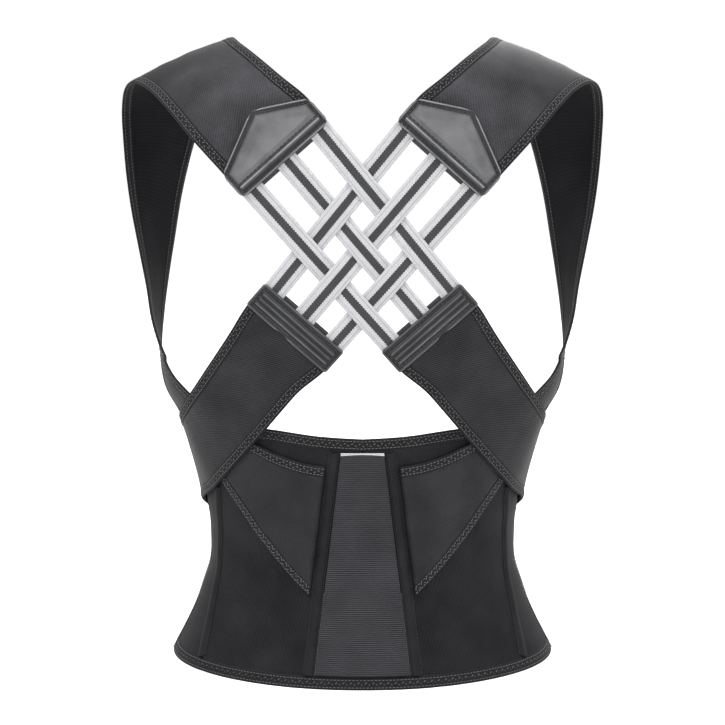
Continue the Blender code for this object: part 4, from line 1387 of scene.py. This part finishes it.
def loops(name):
    look = Finish(name, Specular_IOR_Level=0.2, Sheen_Weight=0.15, Sheen_Roughness=0.5)
    nap = look.noise(0.0009, 4)
    cloud = look.noise(0.008, 3)
    shade = (nap * 0.8 + cloud * 0.4).step(0.3, 0.9)
    look.give("Base Color", shade.between((0.0012, 0.0012, 0.0016), (0.016, 0.016, 0.018)))
    look.give("Roughness", nap * 0.15 + 0.8)
    look.bump(nap, 0.0007)
    return look.material


HOOKS, LOOPS = hooks("hook_field"), loops("brushed_loop")


def pad_thick(side, end):
    return PAD_THICK * (0.65 + 0.35 * ramp(0.8, 2.6, np.minimum(side, end)))


for name, node, side, span, lift, finish in (
    ("loop_pad_field", "loop_pad", "right", LOOP_SPAN, CLOTH + EDGE_GAP, LOOPS),
    ("hook_pad_field", "hook_pad", "left", HOOK_SPAN, CLOTH + PAD_THICK + 2 * EDGE_GAP, HOOKS),
):
    def pad_chart(s, b, span=span, lift=lift, side=side):
        angle = span[0] + (span[1] - span[0]) * s
        height = PAD_HEIGHTS[0] + (PAD_HEIGHTS[1] - PAD_HEIGHTS[0]) * b
        return worn(SIDES[side], angle, height, lift + PAD_THICK / 2)

    wide = math.radians(span[1] - span[0]) * PAD_RADIUS
    across, along = spaced(wide, KNIT_STEP, 0.6), spaced(120, KNIT_STEP, 0.6)
    pad, size = cloth(name, pad_chart, across, along, [finish], pad_thick)
    fixed(pad, f"{side}_wing", [node])
    declared(size)

# ---------------------------------------------------------------- free ends of the pull straps
# The last stretch of each pull strap, with a rounded end and one binding round it. It is
# joined on by its own cloth where the sewing stops, and has a patch of hooks underneath.
END_CORNER = 12.0
END_RADIUS = 112       # of the belt where the free ends lie


def end_outline():
    """(angle, height) along the upper edge, round the free end and back along the lower edge."""
    start = PEEL_ANGLE + 0.15
    tip = math.degrees(END_CORNER / END_RADIUS)
    stop = PULL_END - tip
    upper = [(a, *through(PULL_FRONT, a)[:1]) for a in np.linspace(start, stop, 18)]
    lower = [(a, through(PULL_FRONT, a)[1]) for a in np.linspace(stop, start, 18)]
    top, foot = through(PULL_FRONT, PULL_END)
    turn = [(math.sin(t), math.cos(t)) for t in np.radians(np.linspace(0, 90, 7))]
    one = [(stop + tip * sin, top + 1.2 * (1 - sin) - END_CORNER * (1 - cos)) for sin, cos in turn[1:]]
    two = [(stop + tip * cos, foot + 1.2 * (1 - cos) + END_CORNER * (1 - sin)) for sin, cos in turn[:-1]]
    middle = [(PULL_END, z) for z in np.linspace(top - END_CORNER - 4, foot + END_CORNER + 4, 7)]
    return np.array(upper + one + middle + two + lower)


def end_rows(s, b, inset):
    """(angle, height) inside the free end for shares across and along it."""
    start, stop = PEEL_ANGLE + 0.15, PULL_END - 0.6
    angle = start + (stop - start) * b
    top, foot = np.moveaxis(through(PULL_FRONT, angle), -1, 0)
    drawn = drawn_in(np.clip(np.radians(PULL_END - angle) * END_RADIUS, 0, END_CORNER), END_CORNER) + inset
    return angle, (top - drawn) * (1 - s) + (foot + drawn) * s


for side, sign in SIDES.items():
    wing, free = f"{side}_wing", f"{side}_pull_end"
    joint = next(j for j in frame["joints"] if j["child"] == free)
    pivot = Vector(joint["pos_m"])
    turned = math.radians(PEEL_ANGLE)
    forward = Vector((sign * math.cos(turned), math.sin(turned), 0.0))
    bodies = (wing, free)
    span = (tuple(pivot - forward * 0.001), tuple(pivot + forward * 0.008))

    def end_chart(s, b, side=side, sign=sign):
        angle, height = end_rows(s, b, HEM_TO_FOLD)
        return worn(sign, angle, height, pull_lift(side, angle) + CLOTH / 2)

    cloth_end, size = cloth(
        f"pull_end_cloth_{side}", end_chart, spaced(62, KNIT_STEP), spaced(82, 2.2), [STRAP_KNIT, LINING],
        bound_sides, pull_puckers,
    )
    fixed(cloth_end, bodies, [f"pull_strap_end_{side}"], span)
    declared(size)
    outline = end_outline()

    def edge(x, b, outline=outline, side=side, sign=sign):
        angle, height = beside(outline, -x, b)
        return worn(sign, angle, height, pull_lift(side, angle) + CLOTH / 2)

    bind(
        f"pull_end_tape_{side}", f"pull_end_stitching_{side}", edge, spaced(230, 2.4), STRAP_TAPE,
        [], bodies, span,
    )

    def hooks_chart(s, b, side=side, sign=sign):
        angle = PEEL_ANGLE + 4 + (PULL_END - 8 - PEEL_ANGLE) * b
        top, foot = np.moveaxis(through(PULL_FRONT, angle), -1, 0)
        height = (top - 10) * (1 - s) + (foot + 10) * s
        return worn(sign, angle, height, CLOTH + GAP + PAD_THICK / 2 + lap(side, angle))

    pad, pad_size = cloth(
        f"pull_end_hook_field_{side}", hooks_chart, spaced(45, KNIT_STEP, 0.6), spaced(66, KNIT_STEP, 0.6),
        [HOOKS], pad_thick,
    )
    fixed(pad, free, [f"pull_strap_hooks_{side}"])
    declared(pad_size)

# ---------------------------------------------------------------- floor, light and camera
# The brace stands on its hem on a pale floor, in soft light from a large window on each side.
def floor_finish():
    look = Finish("pale_floor", Specular_IOR_Level=0.2)
    look.give("Base Color", look.noise(0.5, 2).between((0.86, 0.86, 0.86), (0.90, 0.90, 0.90)))
    look.give("Roughness", look.noise(0.1, 2) * 0.1 + 0.7)
    return look.material


bpy.ops.object.select_all(action="DESELECT")
bpy.ops.mesh.primitive_circle_add(vertices=96, radius=14, fill_type="NGON")
floor = bpy.context.object
floor.name = "floor"
floor.data.materials.append(floor_finish())

world = bpy.data.worlds.new("studio")
bpy.context.scene.world = world
world.use_nodes = True
sky = Field(world.node_tree)
around = sky.node("ShaderNodeTexCoord", {}, {}, "Generated")
up = sky.node("ShaderNodeSeparateXYZ", {}, {0: around}, 2)
glow = up.maths("MAXIMUM", up)
ceiling = glow * glow * 1.80 + 0.20
wall = up.step(0.36, 0.14)
brightness = ceiling + wall * 0.8
background = world.node_tree.nodes["Background"]
world.node_tree.links.new(brightness.socket, background.inputs["Strength"])
background.inputs["Color"].default_value = (1.0, 1.0, 1.0, 1)


def soft_box(name, place, aim, size, power):
    light = bpy.data.lights.new(name, "AREA")
    light.shape, light.size, light.energy = "SQUARE", size, power
    lamp = bpy.data.objects.new(name, light)
    bpy.context.scene.collection.objects.link(lamp)
    lamp.location = place
    lamp.rotation_euler = (Vector(aim) - Vector(place)).to_track_quat("-Z", "Y").to_euler()


soft_box("window_left", (-1.30, -1.05, 2.40), (0, 0, 0.35), 0.8, 62)
soft_box("window_right", (1.30, -1.05, 2.40), (0, 0, 0.35), 0.8, 54)
soft_box("window_front", (0.0, -2.60, 0.72), (0, 0, 0.42), 0.5, 17)
soft_box("window_behind", (0.5, 1.90, 1.50), (0, 0, 0.3), 1.2, 26)

EYE_LEVEL, EYE_DISTANCE, EYE_HEIGHT = math.radians(8.907), 1.75, 0.2568
LENS, SENSOR = 99.6, 36.0
view = bpy.data.cameras.new("camera")
view.lens, view.sensor_width = LENS, SENSOR
camera = bpy.data.objects.new("camera", view)
bpy.context.scene.collection.objects.link(camera)
away = Vector((0, -math.cos(EYE_LEVEL), math.sin(EYE_LEVEL)))
camera.location = Vector((0, 0, EYE_HEIGHT)) + away * EYE_DISTANCE
camera.rotation_euler = (-away).to_track_quat("-Z", "Y").to_euler()
bpy.context.scene.camera = camera
bpy.context.scene.view_settings.view_transform = "Standard"
